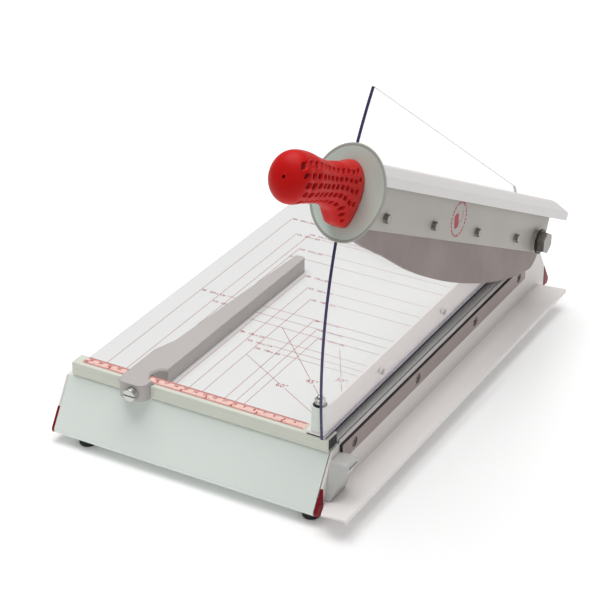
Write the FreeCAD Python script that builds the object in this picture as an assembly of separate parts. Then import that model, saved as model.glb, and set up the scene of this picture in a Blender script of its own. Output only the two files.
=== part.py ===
import FreeCAD, Part
import math
import os

from FreeCAD import Vector

# Guillotine paper cutter for sheets up to 360 mm long. Millimetres, +Z up.
# Working frame: X = 0 is the cut line, +X the off-cut side; Y = 0 is the back of the ruler bar,
# +Y the pivot end; Z = 0 is the table top. Every part is shifted at the end, so that the
# stored origin is the bottom centre of the whole machine.

# ---- driving dimensions -------------------------------------------------------------------
TABLE_LEFT = -269.0
TABLE_RIGHT = -6.3
TABLE_FRONT = -14.5
TABLE_REAR = 418.5
TABLE_T = 2.5
PLATE_SETBACK = 1.8
MID_Y = (TABLE_FRONT + TABLE_REAR) / 2
COVER_BOTTOM = -52.0
FLOOR_Z = -60.0

PANEL_OUT = -1.0
PANEL_IN = -3.4
LEFT_PANEL_OUT = -274.0
LEFT_PANEL_IN = -272.0
PANEL_TOP = -1.0
LEFT_PANEL_TOP = -4.0
SKIN_T = 1.5
COVER_GAP = 0.9
INSERT_Y = -30.5

RULER_H = 11.0
RULER_D = 15.5
RULER_LIP = 1.5
RULER_LEFT = -267.0
RULER_RIGHT = -4.5
STRIP_T = 0.3

BLADE_IN = 2.1
BLADE_T = 3.5
HOLDER_OUT = 10.0
HUB_OUT = 14.0
LOWER_BLADE_OUT = 2.0
LOWER_BLADE_H = 16.0
LOWER_BLADE_END = 378.0
LOWER_SCREW_YS = (20.0, 140.5, 261.0, 362.0)
SCREW_SINK = 0.5

PIVOT_Y = 380.0
PIVOT_Z = 27.5
PIVOT_R = 6.0
RUN_CLEARANCE = 0.05
ARM_ANGLE = 26.9
ARM_DOWN = 27.9
HANDLE_U = 440.0
HANDLE_X = 9.0
HANDLE_V = 15.3
BAR_V = 18.5
BOLT_V = -0.7
BOLT_US = [57.9 + 102.9 * k for k in range(4)]

CLAMP_STROKE = 1.8
CLAMP_FACE = -9.0
CLAMP_WALL_T = 2.5
CLAMP_LEFT = -24.5
CLAMP_BOTTOM = 6.0
CLAMP_TOP = 38.0
CLAMP_REAR = 350.0
HEEL_TOP = 17.5
PAD_BOTTOM = 2.0
BOSS_R = 7.4
BOSS_X = -16.5
BOSS_YS = (-8.0, 402.0)
BOSS_BOTTOM = 13.1
BOSS_TOP = 38.6
ROD_R = 3.0
ROD_TOP = 46.0
NUT_GAP = 1.9

GUARD_OUT = -6.2
GUARD_BOTTOM = 13.2
GUARD_ARC_Y = 390.9
GUARD_ARC_Z = 52.5
GUARD_ARC_R = 413.6

GAUGE_FACE = -181.0
GAUGE_TOP = 15.0
GAUGE_END = 258.0
LOCK_X = -194.5
LOCK_Z = 6.3

WING_EDGE_X = 31.0
WING_Z = -42.0
WING_RISE = 0.084

FOOT_R = 9.0
FOOT_H = 8.0
FOOT_XS = (-244.0, -13.0)
FOOT_INSET = -29.0

# ---- helpers ------------------------------------------------------------------------------


def corner_arc(before, at, after, radius):
    """Start, middle and end points of the arc that rounds one corner of an outline."""
    into = (before - at).normalize()
    out = (after - at).normalize()
    half = into.getAngle(out) / 2
    reach = radius / math.tan(half)
    centre = at + (into + out).normalize() * (radius / math.sin(half))
    middle = centre + (at - centre).normalize() * radius
    return at + into * reach, middle, at + out * reach


def outline(points):
    """Closed face from (a, b) or (a, b, corner radius) points, in the XY plane."""
    places = [Vector(p[0], p[1], 0) for p in points]
    radii = [p[2] if len(p) > 2 else 0 for p in points]
    edges = []
    ends = []
    for i, place in enumerate(places):
        before = places[i - 1]
        after = places[(i + 1) % len(places)]
        if radii[i]:
            start, middle, stop = corner_arc(before, place, after, radii[i])
            ends.append((start, stop))
            edges.append((i, Part.Arc(start, middle, stop).toShape()))
        else:
            ends.append((place, place))
    arcs = dict(edges)
    wire = []
    for i in range(len(places)):
        if i in arcs:
            wire.append(arcs[i])
        leave = ends[i][1]
        arrive = ends[(i + 1) % len(places)][0]
        if leave.distanceToPoint(arrive) > 1e-6:
            wire.append(Part.LineSegment(leave, arrive).toShape())
    return Part.Face(Part.Wire(wire))


def on_x(points, x_low, x_high):
    """Outline in (y, z), from x_low to x_high."""
    face = outline(points)
    face.Placement = FreeCAD.Placement(
        FreeCAD.Matrix(0, 0, 1, x_low, 1, 0, 0, 0, 0, 1, 0, 0, 0, 0, 0, 1))
    return face.extrude(Vector(x_high - x_low, 0, 0))


def on_y(points, y_low, y_high):
    """Outline in (x, z), from y_low to y_high."""
    face = outline(points)
    face.Placement = FreeCAD.Placement(
        FreeCAD.Matrix(1, 0, 0, 0, 0, 0, -1, y_low, 0, 1, 0, 0, 0, 0, 0, 1))
    return face.extrude(Vector(0, y_high - y_low, 0))


def on_z(points, z_low, z_high):
    """Outline in (x, y), from z_low to z_high."""
    face = outline(points)
    face.translate(Vector(0, 0, z_low))
    return face.extrude(Vector(0, 0, z_high - z_low))


def block(x, y, z):
    """Box from (low, high) pairs."""
    return Part.makeBox(x[1] - x[0], y[1] - y[0], z[1] - z[0], Vector(x[0], y[0], z[0]))


def rod_x(radius, x_low, x_high, y, z):
    return Part.makeCylinder(radius, x_high - x_low, Vector(x_low, y, z), Vector(1, 0, 0))


def rod_y(radius, y_low, y_high, x, z):
    return Part.makeCylinder(radius, y_high - y_low, Vector(x, y_low, z), Vector(0, 1, 0))


def rod_z(radius, z_low, z_high, x, y):
    return Part.makeCylinder(radius, z_high - z_low, Vector(x, y, z_low), Vector(0, 0, 1))


def hexagon(across_flats):
    """Corner points of a hexagon about the origin."""
    corner = across_flats / math.sqrt(3)
    turns = [math.radians(30 + 60 * k) for k in range(6)]
    return [(corner * math.cos(t), corner * math.sin(t)) for t in turns]


def hex_x(across_flats, x_low, x_high, y, z):
    return on_x([(y + a, z + b) for a, b in hexagon(across_flats)], x_low, x_high)


def hex_z(across_flats, z_low, z_high, x, y):
    return on_z([(x + a, y + b) for a, b in hexagon(across_flats)], z_low, z_high)


def mirrored(shape):
    """The same shape at the other end of the base."""
    return shape.mirror(Vector(0, MID_Y, 0), Vector(0, 1, 0))


def arm_place(shape):
    """Turn a shape drawn with the arm along -Y (u) and +Z (v) from the pivot to its rest angle."""
    moved = shape.copy()
    moved.rotate(Vector(0, 0, 0), Vector(1, 0, 0), -ARM_ANGLE)
    moved.translate(Vector(0, PIVOT_Y, PIVOT_Z))
    return moved


def arm_plate(points, x_low, x_high):
    """Outline in arm coordinates (u, v), from x_low to x_high, before it is turned."""
    return on_x([(-p[0],) + tuple(p[1:]) for p in points], x_low, x_high)


# ---- base -----------------------------------------------------------------------------------

SLOPE_RUN = 27.0
SLOPE_DROP = 42.5
FOLD_Z = -3.5


def slope_y(z):
    """Y of the sloping front face at height z."""
    return TABLE_FRONT - SLOPE_RUN * (FOLD_Z - z) / SLOPE_DROP


def end_profile(top):
    """Side view of the base, with its sloping ends and rounded bottom folds."""
    front = slope_y(COVER_BOTTOM)
    front_top = slope_y(top)
    return [(front_top, top), (front, COVER_BOTTOM, 4.0),
            (2 * MID_Y - front, COVER_BOTTOM, 4.0), (2 * MID_Y - front_top, top)]


def table_plate():
    plate = block((TABLE_LEFT, TABLE_RIGHT), (TABLE_FRONT + PLATE_SETBACK, TABLE_REAR), (-TABLE_T, 0))
    for y in BOSS_YS:
        plate = plate.cut(rod_z(ROD_R, -10, 10, BOSS_X, y))
    for x in RULER_SCREW_XS:
        plate = plate.cut(rod_z(2.0, -10, 10, x, RULER_SCREW_Y))
    return plate


RULER_SCREW_XS = (-250.0, -136.0, -30.0)
RULER_SCREW_Y = -5.5
COVER_TUCK = 2.0


def front_cover():
    top = -TABLE_T - 0.1
    bend_out = 3.0
    bend_in = bend_out - SKIN_T
    y_top = slope_y(top)
    y_bottom = slope_y(COVER_BOTTOM)
    slope_len = math.hypot(SLOPE_RUN, SLOPE_DROP)
    shift = SKIN_T * slope_len / SLOPE_DROP
    inner_top = top - SKIN_T
    inner_bottom = COVER_BOTTOM + SKIN_T
    lip_end = -16.0
    profile = [(COVER_TUCK, top), (y_top, top, bend_out), (y_bottom, COVER_BOTTOM, 4.0),
               (lip_end, COVER_BOTTOM), (lip_end, inner_bottom),
               (slope_y(inner_bottom) + shift, inner_bottom, 4.0 - SKIN_T),
               (slope_y(inner_top) + shift, inner_top, bend_in), (COVER_TUCK, inner_top)]
    cover = on_x(profile, LEFT_PANEL_IN + 0.2, PANEL_IN - COVER_GAP)
    for x in FOOT_XS:
        cover = cover.cut(rod_z(2.0, COVER_BOTTOM - 5, COVER_BOTTOM + 5, x, FOOT_INSET))
    cover = cover.cut(rod_z(ROD_R, -10, 0, BOSS_X, BOSS_YS[0]))
    for x in RULER_SCREW_XS:
        cover = cover.cut(rod_z(2.0, -10, 0, x, RULER_SCREW_Y))
    return cover


def rear_cover():
    return mirrored(front_cover()).cut(rod_z(ROD_R, -10, 0, BOSS_X, BOSS_YS[1]))


def corner_keep(front):
    """Half space that holds one end's corner insert."""
    depth = 40.0
    keep = block((-300, 20), (INSERT_Y - depth, INSERT_Y), (FLOOR_Z, 10))
    return keep if front else mirrored(keep)


def side_panel_right():
    ear_r = 17.0
    ear_front = PIVOT_Y - 30
    front_top = slope_y(PANEL_TOP)
    front = slope_y(COVER_BOTTOM)
    rear_top = 2 * MID_Y - front_top
    rear = 2 * MID_Y - front
    ear_top = PIVOT_Z + ear_r
    profile = [(front_top, PANEL_TOP, 1.0), (front, COVER_BOTTOM, 4.0), (rear, COVER_BOTTOM, 4.0),
               (rear_top, PANEL_TOP, 6.0), (PIVOT_Y + 24, PANEL_TOP, 8.0),
               (PIVOT_Y + ear_r - 3, ear_top, 14.0), (PIVOT_Y - ear_r + 3, ear_top, 14.0),
               (ear_front, PANEL_TOP, 8.0)]
    panel = on_x(profile, PANEL_IN, PANEL_OUT)
    panel = panel.cut(corner_keep(True)).cut(corner_keep(False))
    panel = panel.cut(rod_x(BUSH_R, PANEL_IN - 5, PANEL_OUT + 5, PIVOT_Y, PIVOT_Z))
    for y in LOWER_SCREW_YS:
        panel = panel.cut(rod_x(2.5, PANEL_IN - 5, PANEL_OUT + 5, y, LOWER_SCREW_Z))
    for y in WING_SCREW_YS:
        panel = panel.cut(rod_x(1.5, PANEL_IN - 5, PANEL_OUT + 5, y, WING_SCREW_Z))
    for y, z in REST_SCREWS:
        panel = panel.cut(rod_x(2.0, PANEL_IN - 5, PANEL_OUT + 5, y, z))
    return panel


def side_panel_left():
    panel = on_x(end_profile(LEFT_PANEL_TOP), LEFT_PANEL_OUT, LEFT_PANEL_IN)
    return panel.cut(corner_keep(True)).cut(corner_keep(False))


def corner_insert(front, right):
    """Plastic corner that fills the end of a side panel and stands a little proud of it."""
    proud = 0.4
    x_low, x_high = (PANEL_IN, PANEL_OUT + proud) if right else (LEFT_PANEL_OUT - proud, LEFT_PANEL_IN)
    top = PANEL_TOP if right else LEFT_PANEL_TOP
    return on_x(end_profile(top), x_low, x_high).common(corner_keep(front))


LOWER_SCREW_Z = -8.0


def blade_rail():
    """Bar behind the side panel, with a lip that closes the gap beside the table."""
    rail = block((-12.0, PANEL_IN), (4.0, LOWER_BLADE_END), (-22.0, -TABLE_T - 0.1))
    lip = block((TABLE_RIGHT + 0.8, PANEL_IN), (4.0, LOWER_BLADE_END), (-22.0, PANEL_TOP))
    rail = rail.fuse(lip).removeSplitter()
    for y in LOWER_SCREW_YS:
        rail = rail.cut(rod_x(2.5, -10.0, PANEL_IN + 5, y, LOWER_SCREW_Z))
    return rail


DECK_LEFT = -266.0
DECK_RIGHT = -12.2
DECK_FRONT = 4.0
DECK_REAR = 400.0
DECK_T = 2.0


def deck_frame():
    """Folded steel tray under the table: a web and four flanges."""
    top = -TABLE_T - 0.1
    outer = block((DECK_LEFT, DECK_RIGHT), (DECK_FRONT, DECK_REAR), (-30.0, top))
    inner = block((DECK_LEFT + DECK_T, DECK_RIGHT - DECK_T),
                  (DECK_FRONT + DECK_T, DECK_REAR - DECK_T), (-31.0, top - DECK_T))
    return outer.cut(inner).cut(rod_z(ROD_R, -10, 0, BOSS_X, BOSS_YS[1]))


def cross_brace(y):
    low = -TABLE_T - 0.1 - DECK_T
    return on_y([(DECK_LEFT + DECK_T, low), (DECK_RIGHT - DECK_T, low), (DECK_RIGHT - DECK_T, low - 20),
                 (DECK_RIGHT - DECK_T - 3, low - 20), (DECK_RIGHT - DECK_T - 3, low - 3),
                 (DECK_LEFT + DECK_T + 3, low - 3), (DECK_LEFT + DECK_T + 3, low - 20),
                 (DECK_LEFT + DECK_T, low - 20)], y, y + 24)


WING_SCREW_YS = (60.0, 200.0, 340.0)
WING_SCREW_Z = -47.0
WING_T = 1.6


def side_wing():
    """Off-cut tray: a flange on the side panel, a nearly level sheet and a turned-down hem."""
    front = -48.0
    rear = 418.0
    rise = WING_RISE * (WING_EDGE_X - PANEL_OUT)
    hem = 3.5
    profile = [(PANEL_OUT, COVER_BOTTOM + 0.5), (PANEL_OUT, WING_Z), (WING_EDGE_X, WING_Z + rise, 2.0),
               (WING_EDGE_X, WING_Z + rise - hem), (WING_EDGE_X - WING_T, WING_Z + rise - hem),
               (WING_EDGE_X - WING_T, WING_Z + rise - WING_T - 0.1),
               (PANEL_OUT + WING_T, WING_Z - WING_T), (PANEL_OUT + WING_T, COVER_BOTTOM + 0.5)]
    wing = on_y(profile, front, rear)
    clip = [(PANEL_OUT - 1, front - 1), (7.0, front - 1), (PANEL_OUT + WING_T + 0.2, INSERT_Y + 0.3),
            (PANEL_OUT - 1, INSERT_Y + 0.3)]
    wing = wing.cut(on_z(clip, FLOOR_Z, 0))
    for y in WING_SCREW_YS:
        wing = wing.cut(rod_x(1.5, PANEL_OUT - 5, PANEL_OUT + 5, y, WING_SCREW_Z))
    return wing


def lower_blade():
    front = -1.5
    blade = block((PANEL_OUT, LOWER_BLADE_OUT), (front, LOWER_BLADE_END), (-LOWER_BLADE_H, 0))
    for y in LOWER_SCREW_YS:
        blade = blade.cut(countersunk_x(y))
    return blade


def countersunk_x(y, sink=0.0):
    """Countersunk screw along X: head that far below the blade's face, shank into the rail."""
    head_r = 5.0 - sink
    head_depth = 2.5 - sink
    shank_end = LOWER_BLADE_OUT - 2.5
    cone = Part.makeCone(2.5, head_r, head_depth, Vector(shank_end, y, LOWER_SCREW_Z), Vector(1, 0, 0))
    return cone.fuse(rod_x(2.5, -10.0, shank_end + 0.1, y, LOWER_SCREW_Z))


def lower_blade_screw(y):
    socket_r = 1.9
    socket = hex_x(socket_r * math.sqrt(3), LOWER_BLADE_OUT - 1.6, LOWER_BLADE_OUT + 1, y, LOWER_SCREW_Z)
    return countersunk_x(y, SCREW_SINK).cut(socket)


REST_SCREWS = ((-9.0, -20.0), (-9.0, -34.0))


def arm_rest_block():
    """Plastic stop for the lowered arm: rounded top, front following the base, concave outer edge."""
    width = 16.0
    top = -7.0
    foot = WING_Z + 0.8
    side = [(-0.8, foot), (-0.8, top), (-19.0, top, 6.0), (slope_y(foot) + 10.0, foot)]
    front = [(PANEL_OUT, foot), (PANEL_OUT, top), (width, top, 2.5), (width, top - 6),
             (11.5, -22.0, 20.0), (4.5, foot)]
    body = on_x(side, PANEL_OUT, width).common(on_y(front, -40.0, 0.0))
    groove = block((11.0, width + 1), (-16.0, -1.9), (top - 5.4, top - 3.6))
    body = body.cut(groove)
    blade_end = block((PANEL_OUT - 1, LOWER_BLADE_OUT + 0.1), (-1.6, 0.0), (-LOWER_BLADE_H, 0))
    body = body.cut(blade_end)
    for y, z in REST_SCREWS:
        body = body.cut(rod_x(2.0, PANEL_OUT - 1, 5.0, y, z))
    return body


def rest_block_screw(place):
    y, z = place
    return rod_x(2.0, PANEL_IN, 5.0, y, z).fuse(rod_x(3.8, PANEL_IN - 2.5, PANEL_IN, y, z))


def wing_screw(y):
    """Round head on the panel's inner side, shank through panel and flange, nut outside."""
    outside = PANEL_OUT + WING_T
    nut = hex_x(5.5, outside, outside + 2.2, y, WING_SCREW_Z)
    head = rod_x(2.8, PANEL_IN - 2.0, PANEL_IN, y, WING_SCREW_Z)
    return rod_x(1.5, PANEL_IN, outside + 3.0, y, WING_SCREW_Z).fuse(head).fuse(nut)


def foot_places():
    return [(x, y) for x in FOOT_XS for y in (FOOT_INSET, 2 * MID_Y - FOOT_INSET)]


def rubber_foot(place):
    x, y = place
    top_r = FOOT_R
    bottom_r = FOOT_R - 1.2
    cone = Part.makeCone(bottom_r, top_r, FOOT_H, Vector(x, y, FLOOR_Z), Vector(0, 0, 1))
    cone = cone.makeFillet(1.5, [e for e in cone.Edges if abs(e.BoundBox.ZMax - FLOOR_Z) < 0.01])
    recess = rod_z(4.4, FLOOR_Z - 1, FLOOR_Z + 4, x, y)
    return cone.cut(recess).cut(rod_z(2.0, FLOOR_Z, FLOOR_Z + FOOT_H + 1, x, y))


def foot_screw(place):
    x, y = place
    seat = FLOOR_Z + 4
    return rod_z(2.0, seat, seat + 13, x, y).fuse(rod_z(3.7, seat - 2.6, seat, x, y))


def foot_nut(place):
    x, y = place
    low = COVER_BOTTOM + SKIN_T
    return hex_z(7.0, low, low + 3.2, x, y).cut(rod_z(2.0, low - 1, low + 5, x, y))


def ruler_bar():
    """Bar along the front edge: its lip hangs over the edge of the table plate."""
    lip_y = TABLE_FRONT + PLATE_SETBACK - 0.2
    section = [(-RULER_D, -RULER_LIP), (-RULER_D, RULER_H, 1.0), (0, RULER_H, 0.6), (0, 0), (lip_y, 0),
               (lip_y, -RULER_LIP)]
    bar = on_x(section, RULER_LEFT, RULER_RIGHT)
    bar = bar.cut(rod_z(ROD_R, -1, RULER_H + 1, BOSS_X, BOSS_YS[0]))
    for x in RULER_SCREW_XS:
        bar = bar.cut(rod_z(2.0, -1, 7.0, x, RULER_SCREW_Y))
    return bar


def ruler_scale_strip():
    return block((RULER_LEFT + 9, -31.0), (-11.2, -0.8), (RULER_H, RULER_H + STRIP_T))


def ruler_screw(x):
    low = -TABLE_T - 0.1 - SKIN_T
    return rod_z(2.0, low, 7.0, x, RULER_SCREW_Y).fuse(rod_z(3.7, low - 2.6, low, x, RULER_SCREW_Y))


def rear_guide_block():
    y = BOSS_YS[1]
    left = -24.0
    right = -6.8
    plan = [(left, y - 10, 2.0), (left, y + 10, 2.0), (right, y + 10, 2.0), (right, y - 10, 2.0)]
    body = on_z(plan, 0, RULER_H)
    return body.cut(rod_z(ROD_R, -1, RULER_H + 1, BOSS_X, y))


def guide_rod(y):
    return rod_z(ROD_R, -10.0, ROD_TOP - 1.0, BOSS_X, y)


def guide_nut(y):
    """Dome nut with a flange, which the clamp's guide boss rises to."""
    low = BOSS_TOP + NUT_GAP
    hex_top = low + 4.2
    flange = rod_z(4.7, low, low + 0.9, BOSS_X, y)
    body = hex_z(8.0, low + 0.9, hex_top, BOSS_X, y)
    ball = Part.makeSphere(3.7, Vector(BOSS_X, y, hex_top - 0.8))
    dome = ball.common(rod_z(3.7, hex_top, hex_top + 5, BOSS_X, y))
    return flange.fuse(body).fuse(dome).cut(guide_rod(y))


# ---- pivot ----------------------------------------------------------------------------------

BUSH_R = 9.0
BUSH_FLANGE_X = 1.6
CAM_LOW = -13.0
CAM_HIGH = -7.0
BUSH_END = CAM_HIGH + 0.1
WASHER_OUT = 15.6
HEAD_OUT = 22.7
NUT_END = -19.0
CAM_THROW = CLAMP_STROKE / (2 * math.sin(math.radians(ARM_DOWN / 2)))
CAM_GAP = 0.3
CAM_R = PIVOT_Z - HEEL_TOP - CAM_GAP + CAM_THROW * math.sin(math.radians(ARM_DOWN / 2))


def pivot_bush():
    bush = rod_x(BUSH_R, BUSH_END, PANEL_OUT, PIVOT_Y, PIVOT_Z)
    bush = bush.fuse(rod_x(14.0, PANEL_OUT, BUSH_FLANGE_X, PIVOT_Y, PIVOT_Z))
    return bush.cut(rod_x(PIVOT_R + RUN_CLEARANCE, BUSH_END - 1, 5, PIVOT_Y, PIVOT_Z))


def friction_washer():
    ring = rod_x(14.0, BUSH_FLANGE_X + 0.1, BLADE_IN, PIVOT_Y, PIVOT_Z)
    return ring.cut(rod_x(PIVOT_R, 0, 5, PIVOT_Y, PIVOT_Z))


def pivot_bolt():
    shank = rod_x(PIVOT_R, NUT_END - 3, WASHER_OUT, PIVOT_Y, PIVOT_Z)
    head = hex_x(19.0, WASHER_OUT, HEAD_OUT, PIVOT_Y, PIVOT_Z)
    rim = Part.makeCone(13.5, 9.0, 4.5, Vector(HEAD_OUT - 3.2, PIVOT_Y, PIVOT_Z), Vector(1, 0, 0))
    skirt = rod_x(13.5, WASHER_OUT - 1, HEAD_OUT - 3.2, PIVOT_Y, PIVOT_Z)
    return shank.fuse(head.common(rim.fuse(skirt)))


def pivot_washer():
    ring = rod_x(12.5, HUB_OUT, WASHER_OUT, PIVOT_Y, PIVOT_Z)
    return ring.cut(rod_x(PIVOT_R, 0, 30, PIVOT_Y, PIVOT_Z))


def pivot_nut():
    nut = hex_x(18.0, NUT_END, CAM_LOW, PIVOT_Y, PIVOT_Z)
    return nut.cut(rod_x(PIVOT_R, -30, 0, PIVOT_Y, PIVOT_Z))


def clamp_cam():
    """Eccentric disc on the bolt: it presses the clamp's heel down as the arm comes down."""
    half = math.radians(ARM_DOWN / 2)
    centre_y = PIVOT_Y - CAM_THROW * math.cos(half)
    centre_z = PIVOT_Z + CAM_THROW * math.sin(half)
    disc = rod_x(CAM_R, CAM_LOW, CAM_HIGH, centre_y, centre_z)
    hub = rod_x(8.0, CAM_LOW, CAM_HIGH, PIVOT_Y, PIVOT_Z)
    return disc.fuse(hub).cut(rod_x(PIVOT_R, -30, 0, PIVOT_Y, PIVOT_Z))


# ---- arm, drawn along u (forward from the pivot) and v (up from the pivot) ---------------------

HOLDER_BOTTOM = -12.0
CAP_LIP = 25.0
CAP_TOP = 42.0
CAP_OUT = 18.0
CAP_IN = 3.4
CAP_T = 2.0
CAP_REAR = -54.0
EDGE_DEPTHS = ((432.0, -13.5), (405.7, -22.8), (343.5, -32.6), (293.8, -41.0), (235.0, -47.2),
               (178.0, -49.5), (123.0, -48.6), (68.0, -44.9), (26.0, -38.8), (-14.0, -29.0))


def upper_blade():
    """Knife: straight back behind the holder, bowed cutting edge, rounded pivot end."""
    edge = Part.BSplineCurve()
    edge.interpolate([Vector(0, -u, v) for u, v in EDGE_DEPTHS])
    first = Vector(0, -EDGE_DEPTHS[0][0], EDGE_DEPTHS[0][1])
    last = Vector(0, -EDGE_DEPTHS[-1][0], EDGE_DEPTHS[-1][1])
    top_front = Vector(0, -EDGE_DEPTHS[0][0], 14)
    top_rear = Vector(0, 16, 14)
    heel = Part.Arc(last, Vector(0, 26.5, -9), top_rear).toShape()
    wire = Part.Wire([edge.toShape(), heel, Part.LineSegment(top_rear, top_front).toShape(),
                      Part.LineSegment(top_front, first).toShape()])
    blade = Part.Face(wire).extrude(Vector(BLADE_T, 0, 0))
    blade.translate(Vector(BLADE_IN, 0, 0))
    blade = blade.cut(rod_x(PIVOT_R, 0, 30, 0, 0))
    for u in BOLT_US:
        blade = blade.cut(rod_x(3.0, 0, 30, -u, BOLT_V))
    return arm_place(blade)


def blade_holder():
    """Stiff rail that carries the knife: a deep web with a flange under the cap."""
    low_x = BLADE_IN + BLADE_T
    web = arm_plate([(HANDLE_U - 4, HOLDER_BOTTOM), (HANDLE_U - 4, 39.8), (-12.0, 39.8), (-24.0, 36.5),
                     (-24.0, HOLDER_BOTTOM, 10.0)], low_x, HOLDER_OUT)
    flange = arm_plate([(HANDLE_U - 4, 34.0), (HANDLE_U - 4, 38.8), (-12.0, 38.8), (-12.0, 34.0)],
                       HOLDER_OUT - 1, 11.0)
    hub = Part.makeCone(10.5, 9.0, HUB_OUT - HOLDER_OUT, Vector(HOLDER_OUT, 0, 0), Vector(1, 0, 0))
    holder = web.fuse(flange).fuse(hub).cut(rod_x(PIVOT_R, 0, 30, 0, 0))
    for u in BOLT_US:
        holder = holder.cut(rod_x(3.0, 0, 30, -u, BOLT_V))
    return arm_place(holder)


def arm_cap():
    """Cover over the arm: inner lip, flat top, slanting facet, outer lip and closed sloping rear end."""
    front = -HANDLE_U + 4
    rear = -CAP_REAR + 2
    facet_x = 11.5
    facet_v = 33.0
    skin = on_y([(CAP_OUT, CAP_LIP), (CAP_OUT, facet_v, 3.0), (facet_x, CAP_TOP, 5.0),
                 (CAP_IN, CAP_TOP, 2.2), (CAP_IN, CAP_LIP)], front, rear)
    room = on_y([(CAP_OUT - CAP_T, 0), (CAP_OUT - CAP_T, facet_v - 0.8, 1.0),
                 (facet_x - 1.0, CAP_TOP - CAP_T, 3.0), (CAP_IN + CAP_T, CAP_TOP - CAP_T),
                 (CAP_IN + CAP_T, 0)], front - 1, rear)
    side = [(HANDLE_U, 20), (HANDLE_U, 60), (-16.0, 60), (-17.0, CAP_TOP + 1), (CAP_REAR, facet_v, 5.0),
            (CAP_REAR + 3, 20)]
    inside = [(HANDLE_U, 0), (HANDLE_U, 60), (-14.0, 60), (-15.0, CAP_TOP + 1 - CAP_T - 0.3),
              (CAP_REAR + CAP_T, facet_v - CAP_T - 0.3, 3.0), (CAP_REAR + 3 + CAP_T, 0)]
    cover = skin.common(arm_plate(side, 0, 30)).cut(room.common(arm_plate(inside, 0, 30)))
    lip_trim = block((0, CAP_IN + CAP_T + 0.05), (front - 1, rear), (0, 30.0))
    return arm_place(cover.cut(lip_trim))


CAP_SCREW_US = (40.0, 160.0, 280.0, 400.0)


def cap_screw(u):
    head = rod_x(3.6, CAP_IN - 1.8, CAP_IN, -u, 35.0)
    slot = block((CAP_IN - 3, CAP_IN - 1.0), (-u - 5, -u + 5), (34.6, 35.4))
    return arm_place(head.cut(slot))


def blade_bolt(u):
    """Hex bolt through holder and knife, with its washer."""
    washer = rod_x(4.4, HOLDER_OUT, HOLDER_OUT + 0.8, -u, BOLT_V)
    head = hex_x(7.0, HOLDER_OUT + 0.8, HOLDER_OUT + 4.0, -u, BOLT_V)
    shank = rod_x(3.0, BLADE_IN + 0.3, HOLDER_OUT + 1, -u, BOLT_V)
    return arm_place(washer.fuse(head).fuse(shank))


def arm_end_plate():
    plate = arm_plate([(HANDLE_U - 4, HOLDER_BOTTOM), (HANDLE_U - 4, CAP_TOP), (HANDLE_U, CAP_TOP),
                       (HANDLE_U, HOLDER_BOTTOM)], CAP_IN, 17.5)
    return arm_place(plate)


def handle_bar():
    return arm_place(rod_y(6.0, -HANDLE_U - 95, -HANDLE_U, HANDLE_X, BAR_V))


DISC_HALF_X = 33.6
DISC_HALF_V = 40.5
DISC_T = 2.6
DISC_DISH = 4.0


def oval(half_x, half_v, centre_x, u, centre_v):
    """Elliptical wire across the arm."""
    if half_v >= half_x:
        ring = Part.Ellipse(Vector(0, 0, 0), half_v, half_x)
        turn = FreeCAD.Rotation(Vector(0, 0, 1), Vector(1, 0, 0), Vector(0, -1, 0), "ZXY")
    else:
        ring = Part.Ellipse(Vector(0, 0, 0), half_x, half_v)
        turn = FreeCAD.Rotation(Vector(1, 0, 0), Vector(0, 0, 1), Vector(0, -1, 0), "ZXY")
    edge = ring.toShape()
    edge.Placement = FreeCAD.Placement(Vector(centre_x, -u, centre_v), turn)
    return Part.Wire([edge])


def dish(start_u):
    """Shallow bowl: flat hub and a rim that leans forward."""
    hub = 0.72
    floor = oval(DISC_HALF_X * hub, DISC_HALF_V * hub, HANDLE_X, start_u, HANDLE_V)
    brim = oval(DISC_HALF_X, DISC_HALF_V, HANDLE_X, start_u + DISC_DISH, HANDLE_V)
    return Part.makeLoft([floor, brim], True, True)


def hand_guard_disc():
    """Oval hand guard, dished forwards, with a flat hub against the arm's end plate."""
    back = dish(HANDLE_U)
    hollow = dish(HANDLE_U + DISC_T)
    lid = DISC_DISH + DISC_T
    rim = Part.Face(oval(DISC_HALF_X, DISC_HALF_V, HANDLE_X, HANDLE_U + DISC_DISH, HANDLE_V))
    body = back.fuse(rim.extrude(Vector(0, DISC_DISH - lid, 0))).cut(hollow)
    return arm_place(body.cut(rod_y(6.0, -HANDLE_U - 20, -HANDLE_U + 5, HANDLE_X, BAR_V)).removeSplitter())


# Grip stations: distance from the disc, centre height, half height, half width and sideways shift.
GRIP_STATIONS = ((0.0, -1.6, 27.2, 15.0, -3.6), (8.0, -1.5, 26.4, 15.8, -2.8),
                 (19.0, -1.4, 24.4, 14.4, -0.6), (33.0, 2.8, 19.3, 14.2, -0.4),
                 (50.0, 3.9, 17.0, 15.7, -1.8), (68.0, 4.3, 18.3, 17.2, -2.3),
                 (86.0, 4.7, 20.0, 19.6, -2.5), (101.0, 3.8, 20.3, 17.6, -1.8),
                 (111.0, 4.7, 16.8, 15.0, -0.6), (117.0, 3.7, 10.2, 7.2, 0.0))


def handle_grip():
    """Moulded grip: wide base with a finger lobe, slim waist, round knob end."""
    start = HANDLE_U + DISC_T
    rings = [oval(half_x, half_v, HANDLE_X + shift, start + s, HANDLE_V + centre)
             for s, centre, half_v, half_x, shift in GRIP_STATIONS]
    body = Part.makeLoft(rings, True, False)
    body = body.cut(rod_y(6.0, -HANDLE_U - 95, -HANDLE_U, HANDLE_X, BAR_V))
    return arm_place(body.cut(rod_y(1.6, -HANDLE_U - 130, -HANDLE_U - 94, HANDLE_X, BAR_V)))


def grip_end_screw():
    return arm_place(rod_y(1.6, -HANDLE_U - 112, -HANDLE_U - 95, HANDLE_X, BAR_V))


# ---- clamp ------------------------------------------------------------------------------------


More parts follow.
